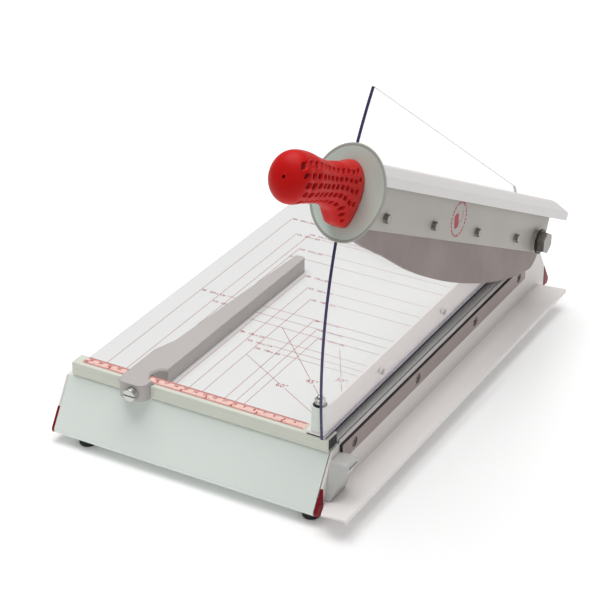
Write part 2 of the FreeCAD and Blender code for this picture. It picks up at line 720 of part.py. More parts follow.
def clamp_boss(y):
    return rod_z(BOSS_R, BOSS_BOTTOM, BOSS_TOP, BOSS_X, y)


def clamp_toe():
    """Thin plate under the front boss, above the ruler bar."""
    left = -26.0
    front = -16.5
    plan = [(left, front, 1.5), (CLAMP_FACE, front, 1.5), (CLAMP_FACE, 2.0), (left, 2.0, 1.5)]
    return on_z(plan, BOSS_BOTTOM, BOSS_BOTTOM + 1.5)


def clamp_bar():
    """Pressing bar: an upright wall on a stepped foot over the pad, a heel under the cam and two bosses."""
    wall_left = CLAMP_FACE - CLAMP_WALL_T
    front = BOSS_YS[0]
    riser_y = PIVOT_Y + 9
    rear = BOSS_YS[1]
    wall = on_x([(front, BOSS_BOTTOM), (front, BOSS_TOP), (0.0, BOSS_TOP), (0.0, CLAMP_TOP),
                 (CLAMP_REAR, CLAMP_TOP, 6.0), (CLAMP_REAR, HEEL_TOP), (riser_y, HEEL_TOP),
                 (riser_y, BOSS_TOP, 2.0), (rear, BOSS_TOP), (rear, BOSS_BOTTOM)], wall_left, CLAMP_FACE)
    step_x = CLAMP_FACE - 3.0
    step_top = BOSS_BOTTOM + CLAMP_WALL_T
    run = (2.0, riser_y + 1)
    shelf = block((step_x - CLAMP_WALL_T, CLAMP_FACE), run, (BOSS_BOTTOM, step_top))
    web = block((step_x - CLAMP_WALL_T, step_x), run, (CLAMP_BOTTOM, step_top))
    flange = block((CLAMP_LEFT, step_x), run, (CLAMP_BOTTOM, CLAMP_BOTTOM + 2.5))
    bar = wall.fuse(shelf).fuse(web).fuse(flange).fuse(clamp_toe())
    for y in BOSS_YS:
        bar = bar.fuse(clamp_boss(y))
    for y in BOSS_YS:
        bar = bar.cut(rod_z(ROD_R + RUN_CLEARANCE, 0, 60, BOSS_X, y))
        bar = bar.cut(rod_z(SPRING_R + 0.6, 0, SPRING_TOP, BOSS_X, y))
    for y in GUARD_SCREW_YS:
        bar = bar.cut(rod_x(1.5, wall_left - 1, CLAMP_FACE + 1, y, GUARD_SCREW_Z))
    return bar


SPRING_R = 4.4
SPRING_TOP = 28.0
SPRING_WIRE = 0.9
GUARD_SCREW_YS = (85.0, 208.0, 325.0)
GUARD_SCREW_Z = 25.5
GUARD_HEAD_R = 2.6
GUARD_HEAD_LOW = -8.0
GUARD_HEAD_OUT = -5.4


def clamp_pad():
    left = -22.0
    right = -12.5
    section = [(left, CLAMP_BOTTOM), (left, PAD_BOTTOM, 1.0), (right, PAD_BOTTOM, 1.0),
               (right, CLAMP_BOTTOM)]
    return on_y(section, 3.0, CLAMP_REAR)


def clamp_spring(y):
    """Coil that lifts the clamp, between the seat and the shoulder inside the boss."""
    height = SPRING_TOP - RULER_H - 2 * SPRING_WIRE
    helix = Part.makeHelix(height / 5, height, SPRING_R - SPRING_WIRE / 2)
    section = Part.Wire([Part.Circle(Vector(SPRING_R - SPRING_WIRE / 2, 0, 0), Vector(0, 1, 0),
                                     SPRING_WIRE / 2).toShape()])
    coil = Part.Wire(helix).makePipeShell([section], True, True)
    coil.translate(Vector(BOSS_X, y, RULER_H + SPRING_WIRE))
    return coil


def guard_sheet():
    """Clear guard: curved front edge, sloping top and cut-away rear corner."""
    def arc_point(z):
        return Vector(0, GUARD_ARC_Y - math.sqrt(GUARD_ARC_R ** 2 - (z - GUARD_ARC_Z) ** 2), z)

    top_z = 302.4
    corner = arc_point(top_z)
    low = arc_point(GUARD_BOTTOM)
    rear_top = Vector(0, 360.1, 90.8)
    rear_edge = Vector(0, 364.0, 83.0)
    rear_low = Vector(0, CLAMP_REAR, 48.0)
    heel = Vector(0, CLAMP_REAR, GUARD_BOTTOM + 6)
    corners = [corner, rear_top, rear_edge, rear_low, heel, Vector(0, CLAMP_REAR - 6, GUARD_BOTTOM), low]
    edges = [Part.LineSegment(a, b).toShape() for a, b in zip(corners, corners[1:])]
    edges.append(Part.Arc(low, arc_point((GUARD_BOTTOM + top_z) / 2), corner).toShape())
    sheet = Part.Face(Part.Wire(edges)).extrude(Vector(GUARD_OUT - CLAMP_FACE, 0, 0))
    sheet.translate(Vector(CLAMP_FACE, 0, 0))
    for y in GUARD_SCREW_YS:
        sheet = sheet.cut(rod_x(1.5, CLAMP_FACE - 1, GUARD_OUT, y, GUARD_SCREW_Z))
        sheet = sheet.cut(rod_x(GUARD_HEAD_R, GUARD_HEAD_LOW, GUARD_OUT + 1, y, GUARD_SCREW_Z))
    return sheet


def guard_screw(y):
    """Slotted flat head sunk in the guard, its shank through the clamp's wall."""
    head = rod_x(GUARD_HEAD_R, GUARD_HEAD_LOW, GUARD_HEAD_OUT, y, GUARD_SCREW_Z)
    slot = block((GUARD_OUT, GUARD_OUT + 1), (y - 4, y + 4), (GUARD_SCREW_Z - 0.4, GUARD_SCREW_Z + 0.4))
    shank = rod_x(1.5, CLAMP_FACE - CLAMP_WALL_T, GUARD_HEAD_LOW, y, GUARD_SCREW_Z)
    return head.cut(slot).fuse(shank)


# ---- back gauge ----------------------------------------------------------------------------------

GAUGE_GAP = 0.3
NOTCH_R = 11.0
GAUGE_LOW = 0.5


def back_gauge():
    """Casting that rides on the ruler bar: long stop arm, head and front block for the lock screw."""
    head_low = RULER_H + STRIP_T + GAUGE_GAP
    arm = on_z([(GAUGE_FACE, GAUGE_GAP + 0.1), (GAUGE_FACE, GAUGE_END, 3.0), (-191.5, GAUGE_END, 3.0),
                (-203.5, 58.0, 20.0), (-211.0, 34.0, 10.0), (-211.0, GAUGE_GAP + 0.1)],
               GAUGE_LOW, GAUGE_TOP)
    head = on_z([(GAUGE_FACE, 8.0), (-211.0, 8.0), (-211.0, -27.0, 7.0), (-183.0, -27.0, 8.0),
                 (-183.0, -14.0), (GAUGE_FACE, -12.0)], head_low, GAUGE_TOP)
    drop = on_z([(-183.0, -RULER_D - GAUGE_GAP), (-211.0, -RULER_D - GAUGE_GAP), (-211.0, -27.0, 7.0),
                 (-183.0, -27.0, 8.0)], -1.0, GAUGE_TOP)
    gauge = arm.fuse(head).fuse(drop).removeSplitter()
    notch_x = GAUGE_FACE + 1.0
    notch_y = -1.0
    notch = rod_z(NOTCH_R, 0, 20, notch_x, notch_y)
    dish_low = Vector(notch_x, notch_y, GAUGE_TOP - 3.0)
    dish_cut = Part.makeCone(NOTCH_R - 1, NOTCH_R + 3.0, 4.0, dish_low, Vector(0, 0, 1))
    gauge = gauge.cut(notch).cut(dish_cut)
    gauge = gauge.cut(rod_y(LOCK_SHANK_R + RUN_CLEARANCE, -40, -RULER_D, LOCK_X, LOCK_Z))
    hollow = on_z([(GAUGE_FACE - 3, 20), (GAUGE_FACE - 3, GAUGE_END - 6), (-188.5, GAUGE_END - 6),
                   (-199.5, 60), (-206.0, 36), (-206.0, 20)], GAUGE_LOW - 1, GAUGE_TOP - 4)
    return gauge.cut(hollow)


LOCK_SHANK_R = 3.0


def gauge_lock_screw():
    """Thumb screw: coin-slot head in front of the gauge, shank that presses on the ruler bar."""
    head = rod_y(6.4, -33.0, -27.2, LOCK_X, LOCK_Z)
    head = head.makeFillet(1.0, [e for e in head.Edges if abs(e.BoundBox.YMin + 33.0) < 0.01 and e.Closed])
    slot = block((LOCK_X - 8, LOCK_X + 8), (-34.0, -31.6), (LOCK_Z - 0.7, LOCK_Z + 0.7))
    shank = rod_y(LOCK_SHANK_R, -27.2, -RULER_D - GAUGE_GAP, LOCK_X, LOCK_Z)
    return head.cut(slot).fuse(shank)


# ---- assembly --------------------------------------------------------------------------------------


def group(make, places):
    return Part.makeCompound([make(place) for place in places])


def build():
    """All nodes in the working frame."""
    return {
        "table_plate": table_plate(),
        "front_cover": front_cover(),
        "rear_cover": rear_cover(),
        "side_panel_right": side_panel_right(),
        "side_panel_left": side_panel_left(),
        "corner_insert_front_right": corner_insert(True, True),
        "corner_insert_rear_right": corner_insert(False, True),
        "corner_insert_front_left": corner_insert(True, False),
        "corner_insert_rear_left": corner_insert(False, False),
        "deck_frame": deck_frame(),
        "cross_braces": group(cross_brace, (90.0, 290.0)),
        "blade_rail": blade_rail(),
        "side_wing": side_wing(),
        "wing_screws": group(wing_screw, WING_SCREW_YS),
        "lower_blade": lower_blade(),
        "lower_blade_screws": group(lower_blade_screw, LOWER_SCREW_YS),
        "arm_rest_block": arm_rest_block(),
        "rest_block_screws": group(rest_block_screw, REST_SCREWS),
        "rubber_feet": group(rubber_foot, foot_places()),
        "foot_screws": group(foot_screw, foot_places()),
        "foot_nuts": group(foot_nut, foot_places()),
        "ruler_bar": ruler_bar(),
        "ruler_scale_strip": ruler_scale_strip(),
        "ruler_screws": group(ruler_screw, RULER_SCREW_XS),
        "rear_guide_block": rear_guide_block(),
        "clamp_guide_rods": group(guide_rod, BOSS_YS),
        "clamp_guide_nuts": group(guide_nut, BOSS_YS),
        "clamp_springs": group(clamp_spring, BOSS_YS),
        "pivot_bush": pivot_bush(),
        "friction_washer": friction_washer(),
        "pivot_bolt": pivot_bolt(),
        "pivot_washer": pivot_washer(),
        "pivot_nut": pivot_nut(),
        "clamp_cam": clamp_cam(),
        "upper_blade": upper_blade(),
        "blade_holder": blade_holder(),
        "blade_bolts": group(blade_bolt, BOLT_US),
        "arm_cap": arm_cap(),
        "cap_screws": group(cap_screw, CAP_SCREW_US),
        "arm_end_plate": arm_end_plate(),
        "handle_bar": handle_bar(),
        "hand_guard_disc": hand_guard_disc(),
        "handle_grip": handle_grip(),
        "grip_end_screw": grip_end_screw(),
        "clamp_bar": clamp_bar(),
        "clamp_pad": clamp_pad(),
        "guard_sheet": guard_sheet(),
        "guard_screws": group(guard_screw, GUARD_SCREW_YS),
        "back_gauge": back_gauge(),
        "gauge_lock_screw": gauge_lock_screw(),
    }


def shift_to_origin(nodes):
    """Move from the working frame to the machine's bottom centre."""
    box = Part.makeCompound(list(nodes.values())).optimalBoundingBox(True, False)
    return Vector(-(box.XMin + box.XMax) / 2, -(box.YMin + box.YMax) / 2, -box.ZMin)


NODES = build()
SHIFT = shift_to_origin(NODES)
os.makedirs("parts", exist_ok=True)
for name, shape in NODES.items():
    placed = shape.copy()
    placed.translate(SHIFT)
    placed.exportStep(f"parts/{name}.step")
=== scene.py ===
"""Looks of the guillotine paper cutter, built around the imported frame. Metres, on the frame's own axes."""

import math

import bpy
import numpy as np
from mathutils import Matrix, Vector


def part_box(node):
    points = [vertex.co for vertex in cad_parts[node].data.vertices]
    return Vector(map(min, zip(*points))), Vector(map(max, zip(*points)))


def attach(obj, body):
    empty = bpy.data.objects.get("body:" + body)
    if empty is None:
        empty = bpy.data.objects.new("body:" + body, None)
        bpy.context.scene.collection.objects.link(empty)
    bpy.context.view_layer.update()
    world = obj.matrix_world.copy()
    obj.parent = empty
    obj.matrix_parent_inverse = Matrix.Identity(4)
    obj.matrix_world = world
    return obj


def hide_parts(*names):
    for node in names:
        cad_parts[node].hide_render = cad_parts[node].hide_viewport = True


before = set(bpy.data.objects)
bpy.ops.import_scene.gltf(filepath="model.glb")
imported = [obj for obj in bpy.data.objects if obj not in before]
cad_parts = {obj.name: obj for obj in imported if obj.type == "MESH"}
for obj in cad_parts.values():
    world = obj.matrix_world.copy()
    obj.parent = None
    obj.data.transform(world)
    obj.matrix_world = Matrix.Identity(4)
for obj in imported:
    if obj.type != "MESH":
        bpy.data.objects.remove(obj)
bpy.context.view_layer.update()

MM = 0.001
WHITE = (1.0, 1.0, 1.0, 1.0)
BLADE_INNER_X = -1.0
ORIGIN = Vector((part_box("lower_blade")[0].x - BLADE_INNER_X * MM,
                 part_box("ruler_bar")[1].y,
                 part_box("table_plate")[1].z))


def at(x, y, z):
    """Point given in mm from the cut line, the back of the ruler bar and the table top."""
    return ORIGIN + Vector((x, y, z)) * MM


# ---- arm coordinates: u forward from the pivot, v up, turned with the raised arm ------------------

ARM_ANGLE = math.radians(26.9)
PIVOT_Y = 380.0
PIVOT_Z = 27.5
HANDLE_U = 440.0
HANDLE_X = 9.0
HANDLE_V = 15.3
BAR_V = 18.5
HOLDER_X = 10.0
BLADE_OUT_X = 2.0


def on_arm(x, u, v):
    y = PIVOT_Y - u * math.cos(ARM_ANGLE) + v * math.sin(ARM_ANGLE)
    z = PIVOT_Z + u * math.sin(ARM_ANGLE) + v * math.cos(ARM_ANGLE)
    return at(x, y, z)


# ---- materials ---------------------------------------------------------------------------------


def linear(rgb):
    """sRGB 0-255 to linear RGBA."""
    out = []
    for value in rgb:
        c = value / 255
        out.append(c / 12.92 if c <= 0.04045 else ((c + 0.055) / 1.055) ** 2.4)
    return (*out, 1.0)


class Graph:
    """Node material with a Principled shader."""

    def __init__(self, name):
        self.material = bpy.data.materials.new(name)
        self.material.use_nodes = True
        self.tree = self.material.node_tree
        self.tree.nodes.clear()
        self.output = self.add("ShaderNodeOutputMaterial")
        self.shader = self.add("ShaderNodeBsdfPrincipled")
        self.link(self.shader.outputs[0], self.output.inputs[0])
        self.coords = self.add("ShaderNodeTexCoord").outputs["Object"]

    def add(self, kind, **settings):
        node = self.tree.nodes.new(kind)
        for key, value in settings.items():
            setattr(node, key, value)
        return node

    def link(self, a, b):
        self.tree.links.new(a, b)

    def put(self, socket, value):
        if isinstance(value, bpy.types.NodeSocket):
            self.link(value, socket)
        else:
            socket.default_value = value

    def noise(self, scale, detail=3.0, stretch=(1, 1, 1), turn=0.0):
        """Noise of that many features a metre, turned about X by turn and then drawn out by stretch."""
        mapping = self.add("ShaderNodeMapping")
        self.link(self.coords, mapping.inputs["Vector"])
        mapping.inputs["Rotation"].default_value = (turn, 0, 0)
        texture = self.add("ShaderNodeTexNoise")
        if turn:
            squeeze = self.add("ShaderNodeMapping")
            self.link(mapping.outputs[0], squeeze.inputs["Vector"])
            squeeze.inputs["Scale"].default_value = stretch
            self.link(squeeze.outputs[0], texture.inputs["Vector"])
        else:
            mapping.inputs["Scale"].default_value = stretch
            self.link(mapping.outputs[0], texture.inputs["Vector"])
        texture.inputs["Scale"].default_value = scale
        texture.inputs["Detail"].default_value = detail
        return texture.outputs["Fac"]

    def remap(self, value, low, high, to_low, to_high):
        node = self.add("ShaderNodeMapRange")
        self.link(value, node.inputs["Value"])
        limits = {"From Min": low, "From Max": high, "To Min": to_low, "To Max": to_high}
        for key, number in limits.items():
            node.inputs[key].default_value = number
        return node.outputs["Result"]

    def math(self, kind, a, b):
        node = self.add("ShaderNodeMath", operation=kind)
        self.put(node.inputs[0], a)
        self.put(node.inputs[1], b)
        return node.outputs[0]

    def mix(self, factor, a, b):
        node = self.add("ShaderNodeMix", data_type="RGBA")
        self.put(node.inputs[0], factor)
        self.put(node.inputs[6], a)
        self.put(node.inputs[7], b)
        return node.outputs[2]

    def rounded(self, radius):
        """Normal that rounds the edges by radius, in metres."""
        node = self.add("ShaderNodeBevel", samples=6)
        node.inputs["Radius"].default_value = radius
        return node.outputs["Normal"]

    def edge_mask(self, radius):
        """1 along the edges and 0 on the faces."""
        dot = self.add("ShaderNodeVectorMath", operation="DOT_PRODUCT")
        self.link(self.rounded(radius), dot.inputs[0])
        self.link(self.add("ShaderNodeNewGeometry").outputs["Normal"], dot.inputs[1])
        return self.remap(dot.outputs["Value"], 0.99, 0.85, 0.0, 1.0)

    def bump(self, height, strength, distance, normal=None):
        node = self.add("ShaderNodeBump")
        self.link(height, node.inputs["Height"])
        node.inputs["Strength"].default_value = strength
        node.inputs["Distance"].default_value = distance
        if normal is not None:
            self.link(normal, node.inputs["Normal"])
        return node.outputs["Normal"]


def scaled(colour, factor):
    return (*[min(1.0, c * factor) for c in colour[:3]], 1.0)


ROUGH_SPREAD = 0.06
BUMP_HEIGHT = 0.2
WEAR_SCALE = 160.0


def finish(name, rgb, rough, metallic=0.0, tone=0.05, tone_scale=14.0, grain=900.0, grain_depth=0.12,
           edge=0.5, wear=None, wear_amount=0.5, stretch=None, turn=0.0, specular=0.5):
    """Painted, moulded or metal surface: tone variation, grain, roughness variation, rounded worn edges.

    tone_scale and grain are features a metre, edge is a radius in mm and wear is the worn edge's colour.
    """
    g = Graph(name)
    colour = linear(rgb)
    broad = g.noise(tone_scale, 4.0)
    base = g.mix(broad, scaled(colour, 1 - tone), scaled(colour, 1 + tone))
    if stretch:
        streaks = g.noise(grain, 4.0, stretch, turn)
        base = g.mix(g.remap(streaks, 0.35, 0.65, 0.0, 1.0), base, scaled(colour, 1 - 1.8 * tone))
    if wear:
        patches = g.remap(g.noise(WEAR_SCALE, 5.0), 0.4, 0.62, 0.0, wear_amount)
        worn = g.math("MULTIPLY", g.edge_mask(edge * MM), patches)
        base = g.mix(worn, base, linear(wear))
    g.put(g.shader.inputs["Base Color"], base)
    height = streaks if stretch else g.noise(grain, 2.0)
    smudge = g.noise(tone_scale * 3.1, 6.0)
    roughness = g.remap(smudge, 0.3, 0.7, rough - ROUGH_SPREAD, rough + ROUGH_SPREAD)
    g.put(g.shader.inputs["Roughness"], roughness)
    g.put(g.shader.inputs["Normal"], g.bump(height, grain_depth, BUMP_HEIGHT * MM, g.rounded(edge * MM)))
    g.shader.inputs["Metallic"].default_value = metallic
    g.shader.inputs["Specular IOR Level"].default_value = specular
    return g


def film(name, haze, glow):
    """Clear plastic sheet: seen through, each face adding a share haze of milky, faintly glowing white."""
    g = Graph(name)
    clear = g.add("ShaderNodeBsdfTransparent")
    clear.inputs[0].default_value = WHITE
    milk = g.mix(g.noise(9.0, 3.0), linear((255, 253, 252)), linear((250, 250, 250)))
    g.put(g.shader.inputs["Base Color"], milk)
    g.put(g.shader.inputs["Roughness"], g.remap(g.noise(30.0, 6.0), 0.35, 0.75, 0.10, 0.25))
    g.shader.inputs["Emission Color"].default_value = WHITE
    g.shader.inputs["Emission Strength"].default_value = glow
    blend = g.add("ShaderNodeMixShader")
    blend.inputs[0].default_value = haze
    g.link(clear.outputs[0], blend.inputs[1])
    g.link(g.shader.outputs[0], blend.inputs[2])
    g.link(blend.outputs[0], g.output.inputs[0])
    return g


LOOKS = {
    "table_paint": finish("table_paint", (227, 228, 227), 0.34, tone=0.012, tone_scale=5.0, grain=1300.0,
                          grain_depth=0.04, edge=0.5, wear=(150, 152, 152), wear_amount=0.4),
    "cover_paint": finish("cover_paint", (233, 241, 235), 0.42, tone=0.018, tone_scale=6.0, grain=1500.0,
                          grain_depth=0.10, edge=0.8, wear=(224, 230, 226), wear_amount=0.2),
    "side_paint": finish("side_paint", (235, 230, 227), 0.45, tone=0.02, tone_scale=7.0, grain=1500.0,
                         grain_depth=0.10, edge=0.7, wear=(232, 230, 228), wear_amount=0.4),
    "wing_paint": finish("wing_paint", (243, 239, 237), 0.4, tone=0.02, tone_scale=7.0, grain=1500.0,
                         grain_depth=0.10, edge=0.6, wear=(240, 238, 236), wear_amount=0.5),
    "deck_steel": finish("deck_steel", (168, 170, 172), 0.42, metallic=0.8, tone=0.1, tone_scale=60.0,
                         grain=500.0, grain_depth=0.1, edge=0.5, wear=(110, 100, 92)),
    "insert_plastic": finish("insert_plastic", (130, 10, 20), 0.42, tone=0.06, tone_scale=30.0, grain=2500.0,
                             grain_depth=0.15, edge=0.8, wear=(176, 50, 60), wear_amount=0.4,
                             specular=0.25),
    "ruler_metal": finish("ruler_metal", (218, 221, 208), 0.36, tone=0.025, tone_scale=10.0, grain=700.0,
                          grain_depth=0.05, stretch=(0.03, 1, 1), edge=0.7, wear=(236, 238, 230)),
    "scale_print": finish("scale_print", (238, 200, 189), 0.5, tone=0.04, tone_scale=120.0, grain=2500.0,
                          grain_depth=0.04, edge=0.1),
    "gauge_casting": finish("gauge_casting", (187, 181, 179), 0.42, tone=0.025, tone_scale=18.0, grain=1400.0,
                            grain_depth=0.12, edge=1.3, wear=(232, 228, 226), wear_amount=0.5),
    "boss_paint": finish("boss_paint", (226, 234, 226), 0.4, tone=0.02, tone_scale=10.0, grain=1500.0,
                         grain_depth=0.08, edge=0.7),
    "clamp_metal": finish("clamp_metal", (238, 230, 227), 0.4, tone=0.02, tone_scale=10.0, grain=1500.0,
                          grain_depth=0.08, edge=0.7, wear=(236, 234, 234), wear_amount=0.5),
    "blade_steel": finish("blade_steel", (136, 122, 118), 0.42, metallic=0.35, tone=0.05, tone_scale=9.0,
                          grain=900.0, grain_depth=0.10, stretch=(1, 1, 0.05), turn=ARM_ANGLE, edge=0.5,
                          wear=(226, 222, 220), wear_amount=0.8),
    # Lighter copy of the blade steel for the lower blade: painted light on its side face, the steel being the
    # same as the upper blade's.
    "lower_blade": finish("lower_blade", (158, 144, 140), 0.42, metallic=0.35, tone=0.05, tone_scale=9.0,
                          grain=900.0, grain_depth=0.10, stretch=(1, 0.05, 1), edge=0.5,
                          wear=(206, 198, 194), wear_amount=0.6),
    "bolt_steel": finish("bolt_steel", (146, 143, 137), 0.3, metallic=0.9, tone=0.08, tone_scale=200.0,
                         grain=1800.0, grain_depth=0.08, edge=0.4, wear=(215, 214, 210)),
    "fastener_steel": finish("fastener_steel", (196, 196, 192), 0.26, metallic=1.0, tone=0.08,
                             tone_scale=200.0, grain=1800.0, grain_depth=0.08, edge=0.4,
                             wear=(235, 235, 232)),
    "black_steel": finish("black_steel", (34, 33, 33), 0.4, metallic=0.2, tone=0.15, tone_scale=90.0,
                          grain=1800.0, grain_depth=0.15, edge=0.4, wear=(120, 118, 112)),
    # Kept darker than the cap's white, which the holder's paint is: painted shade on the holder's side faces,
    # which get little light.
    "holder_paint": finish("holder_paint", (179, 173, 166), 0.4, tone=0.02, tone_scale=6.0, grain=1500.0,
                           grain_depth=0.08, edge=0.6, wear=(230, 228, 224), wear_amount=0.4),
    "cap_plastic": finish("cap_plastic", (232, 229, 227), 0.4, tone=0.012, tone_scale=8.0, grain=2200.0,
                          grain_depth=0.08, edge=0.6, wear=(240, 238, 238), wear_amount=0.3),
    "disc_paint": finish("disc_paint", (210, 240, 229), 0.4, metallic=0.3, tone=0.03, tone_scale=20.0,
                         grain=2200.0, grain_depth=0.06, edge=0.3),
    "grip_plastic": finish("grip_plastic", (198, 17, 15), 0.42, tone=0.05, tone_scale=24.0, grain=2600.0,
                           grain_depth=0.10, edge=0.4, wear=(226, 60, 60), wear_amount=0.2, specular=0.14),
    "foot_rubber": finish("foot_rubber", (26, 26, 27), 0.75, tone=0.2, tone_scale=80.0, grain=3000.0,
                          grain_depth=0.3, edge=0.6, wear=(70, 68, 66)),
    "rest_plastic": finish("rest_plastic", (197, 197, 194), 0.42, tone=0.02, tone_scale=40.0, grain=2600.0,
                           grain_depth=0.12, edge=0.9, wear=(222, 222, 219), wear_amount=0.4),
    "pad_rubber": finish("pad_rubber", (52, 50, 52), 0.7, tone=0.12, tone_scale=70.0, grain=2600.0,
                         grain_depth=0.2, edge=0.4),
    "bush_bronze": finish("bush_bronze", (176, 132, 78), 0.34, metallic=1.0, tone=0.1, tone_scale=120.0,
                          grain=900.0, grain_depth=0.1, edge=0.4, wear=(214, 178, 120)),
    "spring_steel": finish("spring_steel", (150, 150, 152), 0.3, metallic=1.0, tone=0.08, tone_scale=200.0,
                           grain=2500.0, grain_depth=0.06, edge=0.2),
}
# Darker red for the dimple floors and the knob's hole: painted shade in the recesses of the one red plastic.
DIMPLE_SHADE = finish("dimple_painted_shade", (124, 9, 10), 0.6, tone=0.06, tone_scale=40.0, grain=2600.0,
                    grain_depth=0.1, edge=0.2, specular=0.15)
# Darker copy of the disc paint for its rim: painted shade that tones down the rim's highlight.
DISC_RIM_SHADE = finish("disc_rim_painted_shade", (168, 176, 168), 0.5, tone=0.05, tone_scale=40.0, grain=2200.0,
                  grain_depth=0.05, edge=0.1, specular=0.2)
CLEAR = film("guard_clear", 0.14, 0.12)
GUARD_EDGE = finish("guard_edge_dark", (58, 48, 92), 0.25, tone=0.12, tone_scale=60.0, grain=2000.0,
                    grain_depth=0.05, edge=0.3)
GUARD_FOOT = finish("guard_edge_foot", (168, 160, 178), 0.25, tone=0.12, tone_scale=60.0, grain=2000.0,
                    grain_depth=0.05, edge=0.3)
# Pale copy for the guard's top and back edges: painted highlight where the edge catches the top light.
GUARD_TOP_HIGHLIGHT = finish("guard_edge_painted_highlight", (232, 233, 233), 0.3, tone=0.06, tone_scale=60.0, grain=2000.0,
                   grain_depth=0.05, edge=0.3)
DEEP_RED = finish("deep_red", (172, 34, 48), 0.5, tone=0.1, tone_scale=160.0, grain=2600.0,
                  grain_depth=0.05, edge=0.02)
PRINT_RED = finish("print_red", (166, 62, 70), 0.5, tone=0.12, tone_scale=160.0, grain=2600.0,
                   grain_depth=0.05, edge=0.02)

# Nodes that look different from the rest of their material group.
OWN_LOOKS = {"blade_rail": "side_paint", "lower_blade": "lower_blade", "guard_screws": "clamp_metal",
             "pivot_bolt": "bolt_steel", "blade_bolts": "bolt_steel"}

for name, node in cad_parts.items():
    for material_slot in node.material_slots:
        kind = OWN_LOOKS.get(name, material_slot.material.name.split(".")[0])
        if kind in LOOKS:
            material_slot.material = LOOKS[kind].material


# ---- mesh helpers ------------------------------------------------------------------------------


def make(name, verts, faces, looks, body, slot, smooth=False, marks=None, hides=()):
    """New piece of body: marks holds one material index a face, hides the CAD nodes that it replaces."""
    mesh = bpy.data.meshes.new(name)
    mesh.from_pydata([tuple(v) for v in verts], [], faces)
    for look in looks:
        mesh.materials.append(look.material)
    if marks is not None:
        mesh.polygons.foreach_set("material_index", marks)
    mesh.polygons.foreach_set("use_smooth", [smooth] * len(mesh.polygons))
    mesh.update()
    piece = bpy.data.objects.new(name, mesh)
    bpy.context.scene.collection.objects.link(piece)
    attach(piece, body)
    if hides:
        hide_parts(*hides)
    return piece


class Decal:
    """Flat printed marks on one plane: origin and two unit directions."""

    def __init__(self, origin, right, up):
        self.origin = origin
        self.right = right
        self.up = up
        self.verts = []
        self.faces = []

    def point(self, a, b):
        return self.origin + (self.right * a + self.up * b) * MM

    def polygon(self, points):
        start = len(self.verts)
        self.verts += [self.point(a, b) for a, b in points]
        self.faces.append(tuple(range(start, start + len(points))))

    def line(self, a, b, width):
        run = Vector((b[0] - a[0], b[1] - a[1]))
        side = Vector((-run.y, run.x)).normalized() * width / 2
        self.polygon([(a[0] - side.x, a[1] - side.y), (b[0] - side.x, b[1] - side.y),
                      (b[0] + side.x, b[1] + side.y), (a[0] + side.x, a[1] + side.y)])

    def text(self, words, size, a, b, align="CENTER", bold=0.02):
        """Printed words, thickened by the share bold of their size; gives their length."""
        curve = bpy.data.curves.new("glyphs", "FONT")
        curve.body = words
        curve.size = size
        curve.offset = bold * size
        curve.align_x = align
        curve.align_y = "CENTER"
        curve.resolution_u = 2
        holder = bpy.data.objects.new("glyphs", curve)
        mesh = bpy.data.meshes.new_from_object(holder)
        start = len(self.verts)
        length = max(v.co.x for v in mesh.vertices) - min(v.co.x for v in mesh.vertices)
        for v in mesh.vertices:
            self.verts.append(self.point(a + v.co.x, b + v.co.y))
        self.faces += [tuple(start + i for i in p.vertices) for p in mesh.polygons]
        bpy.data.objects.remove(holder)
        bpy.data.curves.remove(curve)
        bpy.data.meshes.remove(mesh)
        return length

    def build(self, name, body, slot, look=PRINT_RED):
        return make(name, self.verts, self.faces, [look], body, slot)


X_AXIS = Vector((1, 0, 0))
Y_AXIS = Vector((0, 1, 0))
Z_AXIS = Vector((0, 0, 1))

# ---- size lines on the table ---------------------------------------------------------------------

PRINT_LIFT = 0.05
LINE_W = 0.48
FORMATS = (("B4", 250, 353), ("C4", 229, 324), ("F4", 216, 330), ("A4", 210, 297), ("", 216, 279),
           ("B5", 176, 250), ("C5", 162, 229), ("A5", 148, 210), ("B6", 125, 176), ("C6", 114, 162),
           ("A6", 105, 148))
LINES_RIGHT = -26.0
WIDEST = 250
LINES_FRONT = 0.5
LABEL_SIZE = 4.3
LABEL_INDENT = 1.5
LABEL_DROP = 1.2
LABEL_STUB = 1.2
LABEL_GAP = 3.0
# Each angle line: degrees from the cut line, how far left it reaches and where its label stands.
ANGLE_LINES = ((60, 147.5, 92.0), (45, 145.0, 72.0), (30, 78.0, 50.0))
ANGLE_SIZE = 8.5
ANGLE_START_Y = 4.2
ANGLE_LABEL_GAP = 11.0


def angle_line(marks, degrees, reach, label_at):
    """Line at an angle to the cut, broken by its label."""
    slope = 1 / math.tan(math.radians(degrees))
    run = math.hypot(1, slope)
    before = label_at - ANGLE_LABEL_GAP / run / 2
    after = label_at + ANGLE_LABEL_GAP / run / 2
    for low, high in ((-LINES_RIGHT, before), (after, reach)):
        marks.line((-low, ANGLE_START_Y + low * slope), (-high, ANGLE_START_Y + high * slope), LINE_W)
    marks.text(f"{degrees}\u00b0", ANGLE_SIZE, -label_at, ANGLE_START_Y + label_at * slope, bold=0.0)


def table_lines():
    marks = Decal(at(0, 0, PRINT_LIFT), X_AXIS, Y_AXIS)
    tallest = {}
    for name, short, long in FORMATS:
        for width, depth in ((short, long), (long, short)):
            if width > WIDEST:
                continue
            tallest[width] = max(tallest.get(width, 0), depth)
            label = f"{name}   {width} x {depth}"
            length = marks.text(label, LABEL_SIZE, LABEL_INDENT - width, depth - LABEL_DROP, "LEFT")
            marks.line((-width, depth), (LABEL_STUB - width, depth), LINE_W)
            marks.line((length + LABEL_GAP - width, depth), (LINES_RIGHT, depth), LINE_W)
    for width, depth in tallest.items():
        marks.line((-width, LINES_FRONT), (-width, depth), LINE_W)
    for degrees, reach, label_at in ANGLE_LINES:
        angle_line(marks, degrees, reach, label_at)
    return marks.build("table_size_lines", "root", "table_paint")


